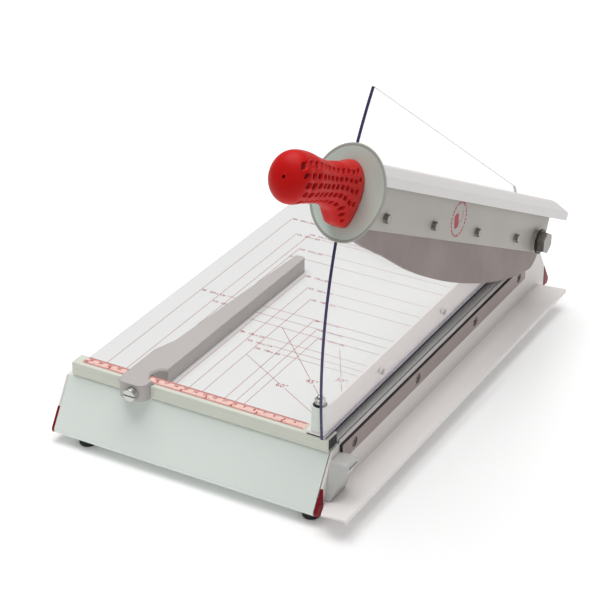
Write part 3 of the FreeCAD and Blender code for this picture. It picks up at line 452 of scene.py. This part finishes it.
# ---- ruler scale -----------------------------------------------------------------------------------

SCALE_Z = 11.34
SCALE_BACK = -1.2
SCALE_FRONT = -10.8
SCALE_LEFT = -258.0
SCALE_RIGHT = -31.0
BORDER_INSET = 0.5
BORDER_W = 0.45
TICK_W = 0.5
INCH = 25.4
INCH_PARTS = 16
TICKED_MM = range(33, 258)
NUMBERED_CM = range(4, 26)
NUMBERED_INCHES = range(2, 11)
# Figures: size, shift along X, Y and boldness.
CM_FIGURES = (4.2, -2.8, -5.0, 0.04)
INCH_FIGURES = (4.8, -3.0, -8.4, 0.05)


def scale_marks():
    marks = Decal(at(0, 0, SCALE_Z), X_AXIS, Y_AXIS)
    for y in (SCALE_BACK, SCALE_FRONT):
        marks.line((SCALE_LEFT + BORDER_INSET, y), (SCALE_RIGHT - BORDER_INSET, y), BORDER_W)
    for millimetre in TICKED_MM:
        reach = 3.0 if millimetre % 10 == 0 else 2.5 if millimetre % 5 == 0 else 1.9
        marks.line((-millimetre, SCALE_BACK), (-millimetre, SCALE_BACK - reach), TICK_W)
    for k in range(int(-SCALE_LEFT / INCH * INCH_PARTS) + 1):
        x = -k * INCH / INCH_PARTS
        if SCALE_LEFT + 1 < x < SCALE_RIGHT - 1:
            reach = 3.4 if k % INCH_PARTS == 0 else 2.6 if k % 4 == 0 else 1.8
            marks.line((x, SCALE_FRONT), (x, SCALE_FRONT + reach), TICK_W)
    for numbers, unit, figures in ((NUMBERED_CM, 10, CM_FIGURES), (NUMBERED_INCHES, INCH, INCH_FIGURES)):
        size, shift, y, bold = figures
        for k in numbers:
            marks.text(str(k), size, -k * unit + shift, y, bold=bold)
    return marks.build("ruler_scale_marks", "root", "scale_print", DEEP_RED)


# ---- ring print on the knife holder ------------------------------------------------------------------

RING_U = 209.8
RING_V = 8.4
RING_R = 16.5
RING_W = 2.1
DASHES = 26
LONG_DASH = 0.72
SHORT_DASH = 0.5
DASH_STEPS = 5
BLOB_STEPS = 28
BLOB_LEAN = math.radians(28)
BLOB_AT = (-4.2, -2.0)
BLOB_HALF = (4.4, 7.0)
HOOK = ((3.0, -3.0), (7.4, 1.5), (6.4, 9.0))
HOOK_W = 0.8


def squared(value):
    """Cosine or sine pulled outwards, so that the oval it draws has fuller corners."""
    return math.copysign(abs(value) ** 0.5, value)


def ring_print():
    """Generic round mark: a broken ring round a blob and a hook."""
    right = on_arm(0, 0, 0) - on_arm(0, 1, 0)
    up = on_arm(0, 0, 1) - on_arm(0, 0, 0)
    marks = Decal(on_arm(HOLDER_X + PRINT_LIFT, RING_U, RING_V), right.normalized(), up.normalized())
    for k in range(DASHES):
        start = 2 * math.pi * k / DASHES
        stop = start + 2 * math.pi / DASHES * (LONG_DASH if k % 3 else SHORT_DASH)
        arc = [start + (stop - start) * j / DASH_STEPS for j in range(DASH_STEPS + 1)]
        marks.polygon([(radius * math.cos(t), radius * math.sin(t))
                       for radius, angles in ((RING_R, arc), (RING_R - RING_W, arc[::-1])) for t in angles])
    cos, sin = math.cos(BLOB_LEAN), math.sin(BLOB_LEAN)
    blob = []
    for k in range(BLOB_STEPS):
        t = 2 * math.pi * k / BLOB_STEPS
        a = BLOB_HALF[0] * squared(math.cos(t))
        b = BLOB_HALF[1] * squared(math.sin(t))
        blob.append((BLOB_AT[0] + a * cos - b * sin, BLOB_AT[1] + a * sin + b * cos))
    marks.polygon(blob)
    for start, stop in zip(HOOK, HOOK[1:]):
        marks.line(start, stop, HOOK_W)
    return marks.build("arm_ring_print", "arm", "holder_paint", DEEP_RED)


# ---- clear guard -------------------------------------------------------------------------------------

GUARD_IN = -8.95
GUARD_OUT = -6.2
GUARD_BOTTOM = 13.2
GUARD_TOP_Z = 302.4
ARC_Y = 390.9
ARC_Z = 52.5
ARC_R = 413.6
GUARD_BACK = ((360.1, 90.8), (364.0, 83.0), (350.0, 48.0), (350.0, 19.2), (344.0, 13.2))
ARC_STEPS = 64


def guard():
    """Clear panel with a dark arc for its front edge, top and back edges pale as a painted highlight, and a
    dull foot.
    """
    rise = GUARD_TOP_Z - GUARD_BOTTOM
    heights = [GUARD_BOTTOM + rise * k / ARC_STEPS for k in range(ARC_STEPS + 1)]
    front = [(ARC_Y - math.sqrt(ARC_R ** 2 - (z - ARC_Z) ** 2), z) for z in heights]
    ring = front + list(GUARD_BACK)
    count = len(ring)
    verts = [at(GUARD_IN, y, z) for y, z in ring] + [at(GUARD_OUT, y, z) for y, z in ring]
    faces = [tuple(range(count)), tuple(reversed(range(count, 2 * count)))]
    marks = [0, 0]
    for k in range(count):
        after = (k + 1) % count
        faces.append((after, k, k + count, after + count))
        marks.append(1 if k < ARC_STEPS else 3 if k == count - 1 else 2)
    return make("guard_panel", verts, faces, [CLEAR, GUARD_EDGE, GUARD_TOP_HIGHLIGHT, GUARD_FOOT], "clamp",
                "guard_clear", marks=marks, hides=("guard_sheet",))


# ---- moulded grip ------------------------------------------------------------------------------------

GRIP_START = HANDLE_U + 2.6
# Each station: distance from the disc, centre height, half height, half width and sideways shift.
GRIP_STATIONS = ((0.0, -1.6, 27.2, 15.0, -3.6), (8.0, -1.5, 26.4, 15.8, -2.8),
                 (19.0, -1.4, 24.4, 14.4, -0.6), (33.0, 2.8, 19.3, 14.2, -0.4),
                 (50.0, 3.9, 17.0, 15.7, -1.8), (68.0, 4.3, 18.3, 17.2, -2.3),
                 (86.0, 4.7, 20.0, 19.6, -2.5), (101.0, 3.8, 20.3, 17.6, -1.8),
                 (111.0, 4.7, 16.8, 15.0, -0.6), (117.0, 3.7, 10.2, 7.2, 0.0))
BODY_RINGS = 270
DOME_RINGS = 44
DOME_START = 98.0
DOME_POWER = 2.4
AROUND = 330
HOLE_R = 1.2
HOLE_DEPTH = 6.0
LOBE_END = 45.0
LOBE_FADE = 30.0
LOBE_BLUNT = 0.58
LOBE_EGG = 0.14


def smooth_step(low, high, value):
    t = np.clip((value - low) / (high - low), 0, 1)
    return t * t * (3 - 2 * t)


def through(stations, s):
    """Smooth curve through the stations: centre height, half height, half width and sideways shift at s."""
    known = np.array(stations)
    slopes = np.gradient(known[:, 1:], known[:, 0], axis=0)
    i = np.clip(np.searchsorted(known[:, 0], s) - 1, 0, len(known) - 2)
    run = known[i + 1, 0] - known[i, 0]
    t = ((s - known[i, 0]) / run)[:, None]
    run = run[:, None]
    return ((2 * t ** 3 - 3 * t ** 2 + 1) * known[i, 1:] + (t ** 3 - 2 * t ** 2 + t) * run * slopes[i]
            + (3 * t ** 2 - 2 * t ** 3) * known[i + 1, 1:] + (t ** 3 - t ** 2) * run * slopes[i + 1])


DIMPLE_PITCH = 8.8
DIMPLE_DEPTH = 2.4
DIMPLE_ALONG = 3.1
DIMPLE_ACROSS = 2.4
DIMPLE_SLANT = 0.3
DIMPLE_TALL = 1.3
DIMPLE_FLOOR = 0.6
SHADE_DEPTH = 0.72
KNOB_WIDENING = 0.2
KNOB_FROM = 70.0
KNOB_TO = 100.0
FAR_SIDE_END = 100.0
ROW_LENGTH = 110.0
# Each row: degrees up at the knob, further degrees at the disc, first distance and number of dimples.
TOP_ROW = (38, 14, 12.5, 12)
SIDE_ROWS = ((12, 22, 11.0, 12), (-9, 24, 16.5, 11), (-31, 22, 14.5, 11), (-56, 14, 37.6, 8))
LOBE_DIMPLES = ((29.0, -12.5), (24.0, -17.2), (19.5, -22.6))
LOBE_ALONG = 3.0
LOBE_ACROSS = 1.8
LOBE_SLANT = 0.35
LOBE_SIDE = 0.4


def dimple_spots(rows):
    """Distance from the disc and angle up from the side for each dimple on one side of the grip."""
    spots = []
    for angle, climb, first, count in rows:
        for k in range(count):
            s = first + k * DIMPLE_PITCH
            spots.append((s, math.radians(angle + climb * (1 - s / ROW_LENGTH) ** 2)))
    return spots


def grip_rings():
    """One row a ring, in the order of a station; the rings past DOME_START close in a dome."""
    last = GRIP_STATIONS[-1][0]
    body_s = np.linspace(0, DOME_START, BODY_RINGS)
    body = np.column_stack((body_s, through(GRIP_STATIONS, body_s)))
    centre, half_v, half_x, shift = body[-1, 1:]
    turn = np.linspace(0, math.pi / 2, DOME_RINGS + 1)[1:]
    forward = np.sin(turn) ** (2 / DOME_POWER)
    size = np.maximum(np.cos(turn), 1e-6) ** (2 / DOME_POWER)
    size = np.maximum(size, HOLE_R / half_x)
    dome = np.column_stack((DOME_START + (last - DOME_START) * forward,
                            centre + (BAR_V - HANDLE_V - centre) * forward,
                            half_v * size, half_x * size, shift * (1 - forward)))
    return np.vstack((body, dome))


def dimple(along, across):
    """Depth at a point given in dimple radii from its middle."""
    return DIMPLE_DEPTH * smooth_step(1.0, DIMPLE_FLOOR, (along ** 4 + across ** 4) ** 0.25)


def grip():
    s, centre, half_v, half_x, shift = grip_rings().T
    t = np.linspace(0, 2 * math.pi, AROUND, endpoint=False)
    cos, sin = np.cos(t)[None, :], np.sin(t)[None, :]
    lobe = np.clip((LOBE_END - s) / LOBE_FADE, 0, 1)[:, None]
    blunt = 1 - LOBE_BLUNT * lobe * np.clip(-sin, 0, 1)
    across_x = np.sign(cos) * np.abs(cos) ** blunt
    x = shift[:, None] + half_x[:, None] * across_x * (1 + LOBE_EGG * lobe * sin)
    v = centre[:, None] + half_v[:, None] * sin
    depth = np.zeros_like(x)
    spots = [(at_s, angle, DIMPLE_TALL) for at_s, angle in dimple_spots((TOP_ROW,))]
    spots += [(at_s, angle, 1.0) for at_s, angle in dimple_spots(SIDE_ROWS)]
    for side in (1, -1):
        for at_s, angle, tall in spots:
            if side < 0 and at_s > FAR_SIDE_END:
                continue
            up = (np.arctan2(sin, side * cos) - angle) * half_v[:, None]
            along = (s[:, None] - at_s + DIMPLE_SLANT * up) / DIMPLE_ALONG
            widening = 1 + KNOB_WIDENING * smooth_step(KNOB_FROM, KNOB_TO, at_s)
            across = up / (tall * DIMPLE_ACROSS * widening)
            depth = np.maximum(depth, dimple(along, across))
        for at_s, height in LOBE_DIMPLES:
            along = (s[:, None] - at_s) / LOBE_ALONG
            across = (v - height + LOBE_SLANT * (s[:, None] - at_s)) / LOBE_ACROSS
            depth = np.maximum(depth, np.where(side * cos > LOBE_SIDE, dimple(along, across), 0.0))
    normal_x = cos * half_v[:, None]
    normal_v = sin * half_x[:, None]
    size = np.hypot(normal_x, normal_v)
    x = x - depth * normal_x / size
    v = v - depth * normal_v / size
    rings = len(s)
    verts = []
    for i in range(rings):
        for j in range(AROUND):
            verts.append(on_arm(HANDLE_X + x[i, j], GRIP_START + s[i], HANDLE_V + v[i, j]))
    faces = []
    marks = []
    for i in range(rings - 1):
        for j in range(AROUND):
            k = (j + 1) % AROUND
            faces.append((i * AROUND + j, i * AROUND + k, (i + 1) * AROUND + k, (i + 1) * AROUND + j))
            # Faces deep in a dimple take the darker red: painted shade.
            corners = depth[i, j] + depth[i, k] + depth[i + 1, k] + depth[i + 1, j]
            marks.append(1 if corners > DIMPLE_DEPTH * 4 * SHADE_DEPTH else 0)
    rim = (rings - 1) * AROUND
    bottom = len(verts)
    for j in range(AROUND):
        verts.append(on_arm(HANDLE_X + HOLE_R * math.cos(t[j]), GRIP_START + s[-1] - HOLE_DEPTH,
                            BAR_V + HOLE_R * math.sin(t[j])))
    for j in range(AROUND):
        k = (j + 1) % AROUND
        faces.append((rim + j, rim + k, bottom + k, bottom + j))
    faces.append(tuple(bottom + j for j in range(AROUND)))
    faces.append(tuple(reversed(range(AROUND))))
    # The hole's wall and floor take the darker red as well: painted shade.
    marks += [1] * (AROUND + 1) + [0]
    return make("grip_moulding", verts, faces, [LOOKS["grip_plastic"], DIMPLE_SHADE], "arm",
                "grip_plastic", smooth=True, marks=marks, hides=("handle_grip",))


# ---- hand guard disc -----------------------------------------------------------------------------------

DISC_HALF_X = 33.6
DISC_HALF_V = 40.5
DISC_T = 2.6
DISC_DISH = 4.0
FLAT_SHARE = 0.3
RIM_R = 0.8
RIM_STEPS = 10
PINCH = 0.12
PINCH_LEAST = 0.35
DISC_DROP = 0.6
DISC_AROUND = 160
DISC_STEPS = 24


def disc():
    """Oval dish: flat at the grip, swept forwards to a rounded rim, pinched in at the lower outer side; the
    rim is painted darker as painted shade.
    """
    def height(share):
        return DISC_DISH * max(0.0, (share - FLAT_SHARE) / (1 - FLAT_SHARE)) ** 2

    def thickness(share):
        return DISC_T + (2 * RIM_R - DISC_T) * share ** 2

    shares = [k / DISC_STEPS for k in range(DISC_STEPS + 1)]
    inset = RIM_R / DISC_HALF_X
    back = [(share * (1 - inset), height(share)) for share in shares]
    edge = [(1 - inset + inset * math.sin(a), DISC_DISH + RIM_R - RIM_R * math.cos(a))
            for a in (math.pi * k / RIM_STEPS for k in range(1, RIM_STEPS))]
    front = [(share * (1 - inset), height(share) + thickness(share)) for share in reversed(shares)]
    profile = (back + edge + front)[1:-1]
    verts = []
    for share, forward in profile:
        for j in range(DISC_AROUND):
            a = 2 * math.pi * j / DISC_AROUND
            pinch = 1 - PINCH * max(0.0, math.cos(a)) * (PINCH_LEAST + max(0.0, -math.sin(a)))
            verts.append(on_arm(HANDLE_X + DISC_HALF_X * share * math.cos(a) * pinch, HANDLE_U + forward,
                                HANDLE_V - DISC_DROP + (DISC_HALF_V - DISC_DROP) * share * math.sin(a)))
    faces = []
    for i in range(len(profile) - 1):
        for j in range(DISC_AROUND):
            k = (j + 1) % DISC_AROUND
            faces.append((i * DISC_AROUND + j, (i + 1) * DISC_AROUND + j, (i + 1) * DISC_AROUND + k,
                          i * DISC_AROUND + k))
    # The rim rows take the darker rim colour: painted shade.
    rim = range(len(back) - 2, len(back) + len(edge))
    marks = [1 if i in rim else 0 for i in range(len(profile) - 1) for j in range(DISC_AROUND)]
    last = (len(profile) - 1) * DISC_AROUND
    faces.append(tuple(range(DISC_AROUND)))
    faces.append(tuple(last + j for j in reversed(range(DISC_AROUND))))
    return make("guard_disc_dish", verts, faces, [LOOKS["disc_paint"], DISC_RIM_SHADE], "arm", "disc_paint",
                smooth=True, marks=marks + [0, 0], hides=("hand_guard_disc",))


# ---- dark edges of the lower blade, painted screw shadows and the ruler's end plug -----------------------

SKIN = 0.06


def blade_edges():
    """Black skin just over the top and front end of the lower blade's ground steel."""
    low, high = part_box("lower_blade")
    front = low.y - SKIN * MM
    top = high.z + SKIN * MM
    verts = [(low.x, high.y, top), (low.x, front, top), (high.x, front, top), (high.x, high.y, top),
             (low.x, front, low.z), (high.x, front, low.z)]
    return make("lower_blade_dark_edges", verts, [(0, 1, 2, 3), (1, 4, 5, 2)], [LOOKS["black_steel"]], "root",
                "blade_steel")


SCREW_YS = (20.0, 140.5, 261.0, 362.0)
SCREW_Z = -8.0
SCREW_R = 4.6
CRESCENT_W = 2.0
CRESCENT_LEAST = 0.1
CRESCENT_TAPER = 0.85
CRESCENT_STEPS = 24
CRESCENT_LEAN = math.radians(-50)
CRESCENT_HALF = math.radians(105)


def screw_shadows():
    """Dark crescents of painted shadow round the lower blade's sunk screws."""
    marks = Decal(at(BLADE_OUT_X + SKIN, 0, 0), Y_AXIS, Z_AXIS)
    for y in SCREW_YS:
        outer = []
        inner = []
        for k in range(CRESCENT_STEPS + 1):
            t = CRESCENT_LEAN - CRESCENT_HALF + 2 * CRESCENT_HALF * k / CRESCENT_STEPS
            outer.append((y + SCREW_R * math.cos(t), SCREW_Z + SCREW_R * math.sin(t)))
            taper = max(0.0, math.cos((t - CRESCENT_LEAN) * CRESCENT_TAPER))
            thick = CRESCENT_W * taper + CRESCENT_LEAST
            inner.append((y + (SCREW_R - thick) * math.cos(t), SCREW_Z + (SCREW_R - thick) * math.sin(t)))
        marks.polygon(outer + inner[::-1])
    return marks.build("lower_blade_screw_painted_shadows", "root", "blade_steel", LOOKS["black_steel"])


PLUG_MARGIN = 0.9
PLUG_TOP_MARGIN = 1.0
PLUG_BOTTOM = 0.6
PLUG_LIFT = 0.05
# Each ring of the plug: how far in from its outline and how far out of the bar's end.
PLUG_RINGS = ((0.0, 0.0), (0.15, 0.35), (1.1, 0.4), (1.5, -0.02), (3.2, 0.0))


def end_plug():
    """Black plug that closes the right end of the ruler bar, its black standing partly for the bar's dark
    hollow end and partly as painted shade on that end: a raised rim round a sunk middle.
    """
    low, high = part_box("ruler_bar")
    front = low.y + PLUG_MARGIN * MM
    back = high.y - PLUG_MARGIN * MM
    bottom = at(0, 0, PLUG_BOTTOM).z
    top = high.z - PLUG_TOP_MARGIN * MM
    verts = []
    for inset, out in PLUG_RINGS:
        x = high.x + (PLUG_LIFT + out) * MM
        inset *= MM
        verts += [(x, front + inset, bottom + inset), (x, back - inset, bottom + inset),
                  (x, back - inset, top - inset), (x, front + inset, top - inset)]
    faces = []
    last = len(verts) - 4
    for i in range(0, last, 4):
        for j in range(4):
            k = (j + 1) % 4
            faces.append((i + j, i + k, i + 4 + k, i + 4 + j))
    faces.append(tuple(last + j for j in range(4)))
    return make("ruler_end_plug_painted_shade", verts, faces, [LOOKS["pad_rubber"]], "root", "pad_rubber")


# ---- small dark and pale details round the clamp ---------------------------------------------------------

BOSS_X = -16.5
BOSS_YS = (-8.0, 402.0)
BOSS_R = 7.45
BOSS_TOP = 38.6
SLEEVE_LIFT = 0.05
SLEEVE_BEVEL = 0.5
SLEEVE_BOTTOM = 13.07
WASHER_R = 6.2
WASHER_SINK = 0.1
WASHER_RISE = 0.15
AROUND_BOSS = 40


def tube(rings, x, y):
    """Stack of circles from (radius, height) pairs, closed at both ends."""
    verts = []
    for radius, z in rings:
        for k in range(AROUND_BOSS):
            t = 2 * math.pi * k / AROUND_BOSS
            verts.append(at(x + radius * math.cos(t), y + radius * math.sin(t), z))
    faces = []
    for i in range(len(rings) - 1):
        for k in range(AROUND_BOSS):
            after = (k + 1) % AROUND_BOSS
            faces.append((i * AROUND_BOSS + k, i * AROUND_BOSS + after, (i + 1) * AROUND_BOSS + after,
                          (i + 1) * AROUND_BOSS + k))
    last = (len(rings) - 1) * AROUND_BOSS
    faces.append(tuple(reversed(range(AROUND_BOSS))))
    faces.append(tuple(range(last, last + AROUND_BOSS)))
    return verts, faces


def boss_details():
    """Painted sleeve over each guide boss, with a black washer on top."""
    for place, y in zip(("front", "rear"), BOSS_YS):
        top = BOSS_TOP + SLEEVE_LIFT
        sleeve = tube([(BOSS_R, SLEEVE_BOTTOM), (BOSS_R, top - SLEEVE_BEVEL), (BOSS_R - SLEEVE_BEVEL, top)],
                      BOSS_X, y)
        make(f"boss_sleeve_{place}", *sleeve, [LOOKS["boss_paint"]], "clamp", "clamp_metal")
        washer = tube([(WASHER_R, top - WASHER_SINK), (WASHER_R, top + WASHER_RISE)], BOSS_X, y)
        make(f"boss_washer_{place}", *washer, [LOOKS["pad_rubber"]], "clamp", "pad_rubber")


def slab(name, x, y, z, look, body, slot):
    """Box from (low, high) pairs in mm."""
    verts = [at(a, b, c) for c in z for b in y for a in x]
    faces = [(0, 2, 3, 1), (4, 5, 7, 6), (0, 1, 5, 4), (2, 6, 7, 3), (0, 4, 6, 2), (1, 3, 7, 5)]
    return make(name, verts, faces, [look], body, slot)


GUARD_SCREW_YS = (85.0, 208.0, 325.0)
GUARD_SCREW_Z = 25.5
GUARD_SCREW_FACE_X = -5.35
GUARD_RING_IN = 2.05
GUARD_RING_OUT = 2.6
GUARD_RING_STEPS = 24
GUARD_SLOT_HALF = 1.8
GUARD_SLOT_W = 0.7


def screw_rings():
    """Thin dark ring and slot on each screw of the guard."""
    marks = Decal(at(GUARD_SCREW_FACE_X, 0, 0), Y_AXIS, Z_AXIS)
    for y in GUARD_SCREW_YS:
        for k in range(GUARD_RING_STEPS):
            start = 2 * math.pi * k / GUARD_RING_STEPS
            stop = 2 * math.pi * (k + 1) / GUARD_RING_STEPS
            corners = ((GUARD_RING_IN, start), (GUARD_RING_OUT, start), (GUARD_RING_OUT, stop),
                       (GUARD_RING_IN, stop))
            marks.polygon([(y + r * math.cos(t), GUARD_SCREW_Z + r * math.sin(t)) for r, t in corners])
        marks.line((y - GUARD_SLOT_HALF, GUARD_SCREW_Z), (y + GUARD_SLOT_HALF, GUARD_SCREW_Z), GUARD_SLOT_W)
    return marks.build("guard_screw_rings", "clamp", "fastener_steel", LOOKS["black_steel"])


table_lines()
scale_marks()
boss_details()
screw_rings()
# Dark slab under the front boss's toe: painted shadow in the gap beneath the toe.
slab("boss_toe_painted_shadow", (-25.5, -7.0), (-15.2, -1.0), (11.02, 11.25), LOOKS["pad_rubber"],
     "root", "pad_rubber")
# Black strip down in the gap between the table plate and the rail: painted shade in the gap.
slab("table_gap_painted_shade", (-6.25, -5.55), (4.5, 377.0), (-2.5, -1.6), LOOKS["foot_rubber"],
     "root", "pad_rubber")
ring_print()
guard()
grip()
disc()
blade_edges()
screw_shadows()
end_plug()

# ---- floor, light and camera ---------------------------------------------------------------------------

FLOOR_HALF = 6.0
FLOOR_GLOW = 0.09


def floor():
    g = Graph("studio_floor")
    g.put(g.shader.inputs["Base Color"], g.mix(g.noise(3.0), linear((254, 254, 254)), WHITE))
    g.shader.inputs["Roughness"].default_value = 0.9
    g.shader.inputs["Specular IOR Level"].default_value = 0.1
    g.shader.inputs["Emission Color"].default_value = WHITE
    g.shader.inputs["Emission Strength"].default_value = FLOOR_GLOW
    mesh = bpy.data.meshes.new("floor")
    h = FLOOR_HALF
    mesh.from_pydata([(-h, -h, 0), (h, -h, 0), (h, h, 0), (-h, h, 0)], [], [(0, 1, 2, 3)])
    mesh.materials.append(g.material)
    plane = bpy.data.objects.new("floor", mesh)
    bpy.context.scene.collection.objects.link(plane)


WORLD_STRENGTH = 0.33
# Each light: name, place, side and power; they all point at one place.
LIGHTS = (("top_soft", (-0.3, 0.25, 2.4), 2.3, 54), ("front_right", (1.9, -1.6, 1.6), 1.6, 4))
LIGHT_AIM = Vector((0.0, 0.0, 0.1))


def area_light(name, place, side, power):
    data = bpy.data.lights.new(name, "AREA")
    data.shape = "SQUARE"
    data.size = side
    data.energy = power
    light = bpy.data.objects.new(name, data)
    bpy.context.scene.collection.objects.link(light)
    light.location = place
    light.rotation_mode = "QUATERNION"
    light.rotation_quaternion = (LIGHT_AIM - Vector(place)).to_track_quat("-Z", "Y")


def lights():
    world = bpy.data.worlds.new("studio")
    world.use_nodes = True
    background = world.node_tree.nodes["Background"]
    background.inputs["Color"].default_value = WHITE
    background.inputs["Strength"].default_value = WORLD_STRENGTH
    bpy.context.scene.world = world
    for light in LIGHTS:
        area_light(*light)


LENS = 117.06
CAMERA_MM = (670.1, -1245.8, 913.8)
AIM_MM = (-147.2, 196.9, 0.0)


def camera():
    data = bpy.data.cameras.new("camera")
    data.sensor_width = 36.0
    data.lens = LENS
    data.clip_start = 0.1
    data.clip_end = 30.0
    view = bpy.data.objects.new("camera", data)
    bpy.context.scene.collection.objects.link(view)
    view.location = at(*CAMERA_MM)
    view.rotation_mode = "QUATERNION"
    view.rotation_quaternion = (at(*AIM_MM) - at(*CAMERA_MM)).to_track_quat("-Z", "Y")
    bpy.context.scene.camera = view


floor()
lights()
camera()
bpy.context.scene.view_settings.view_transform = "Standard"
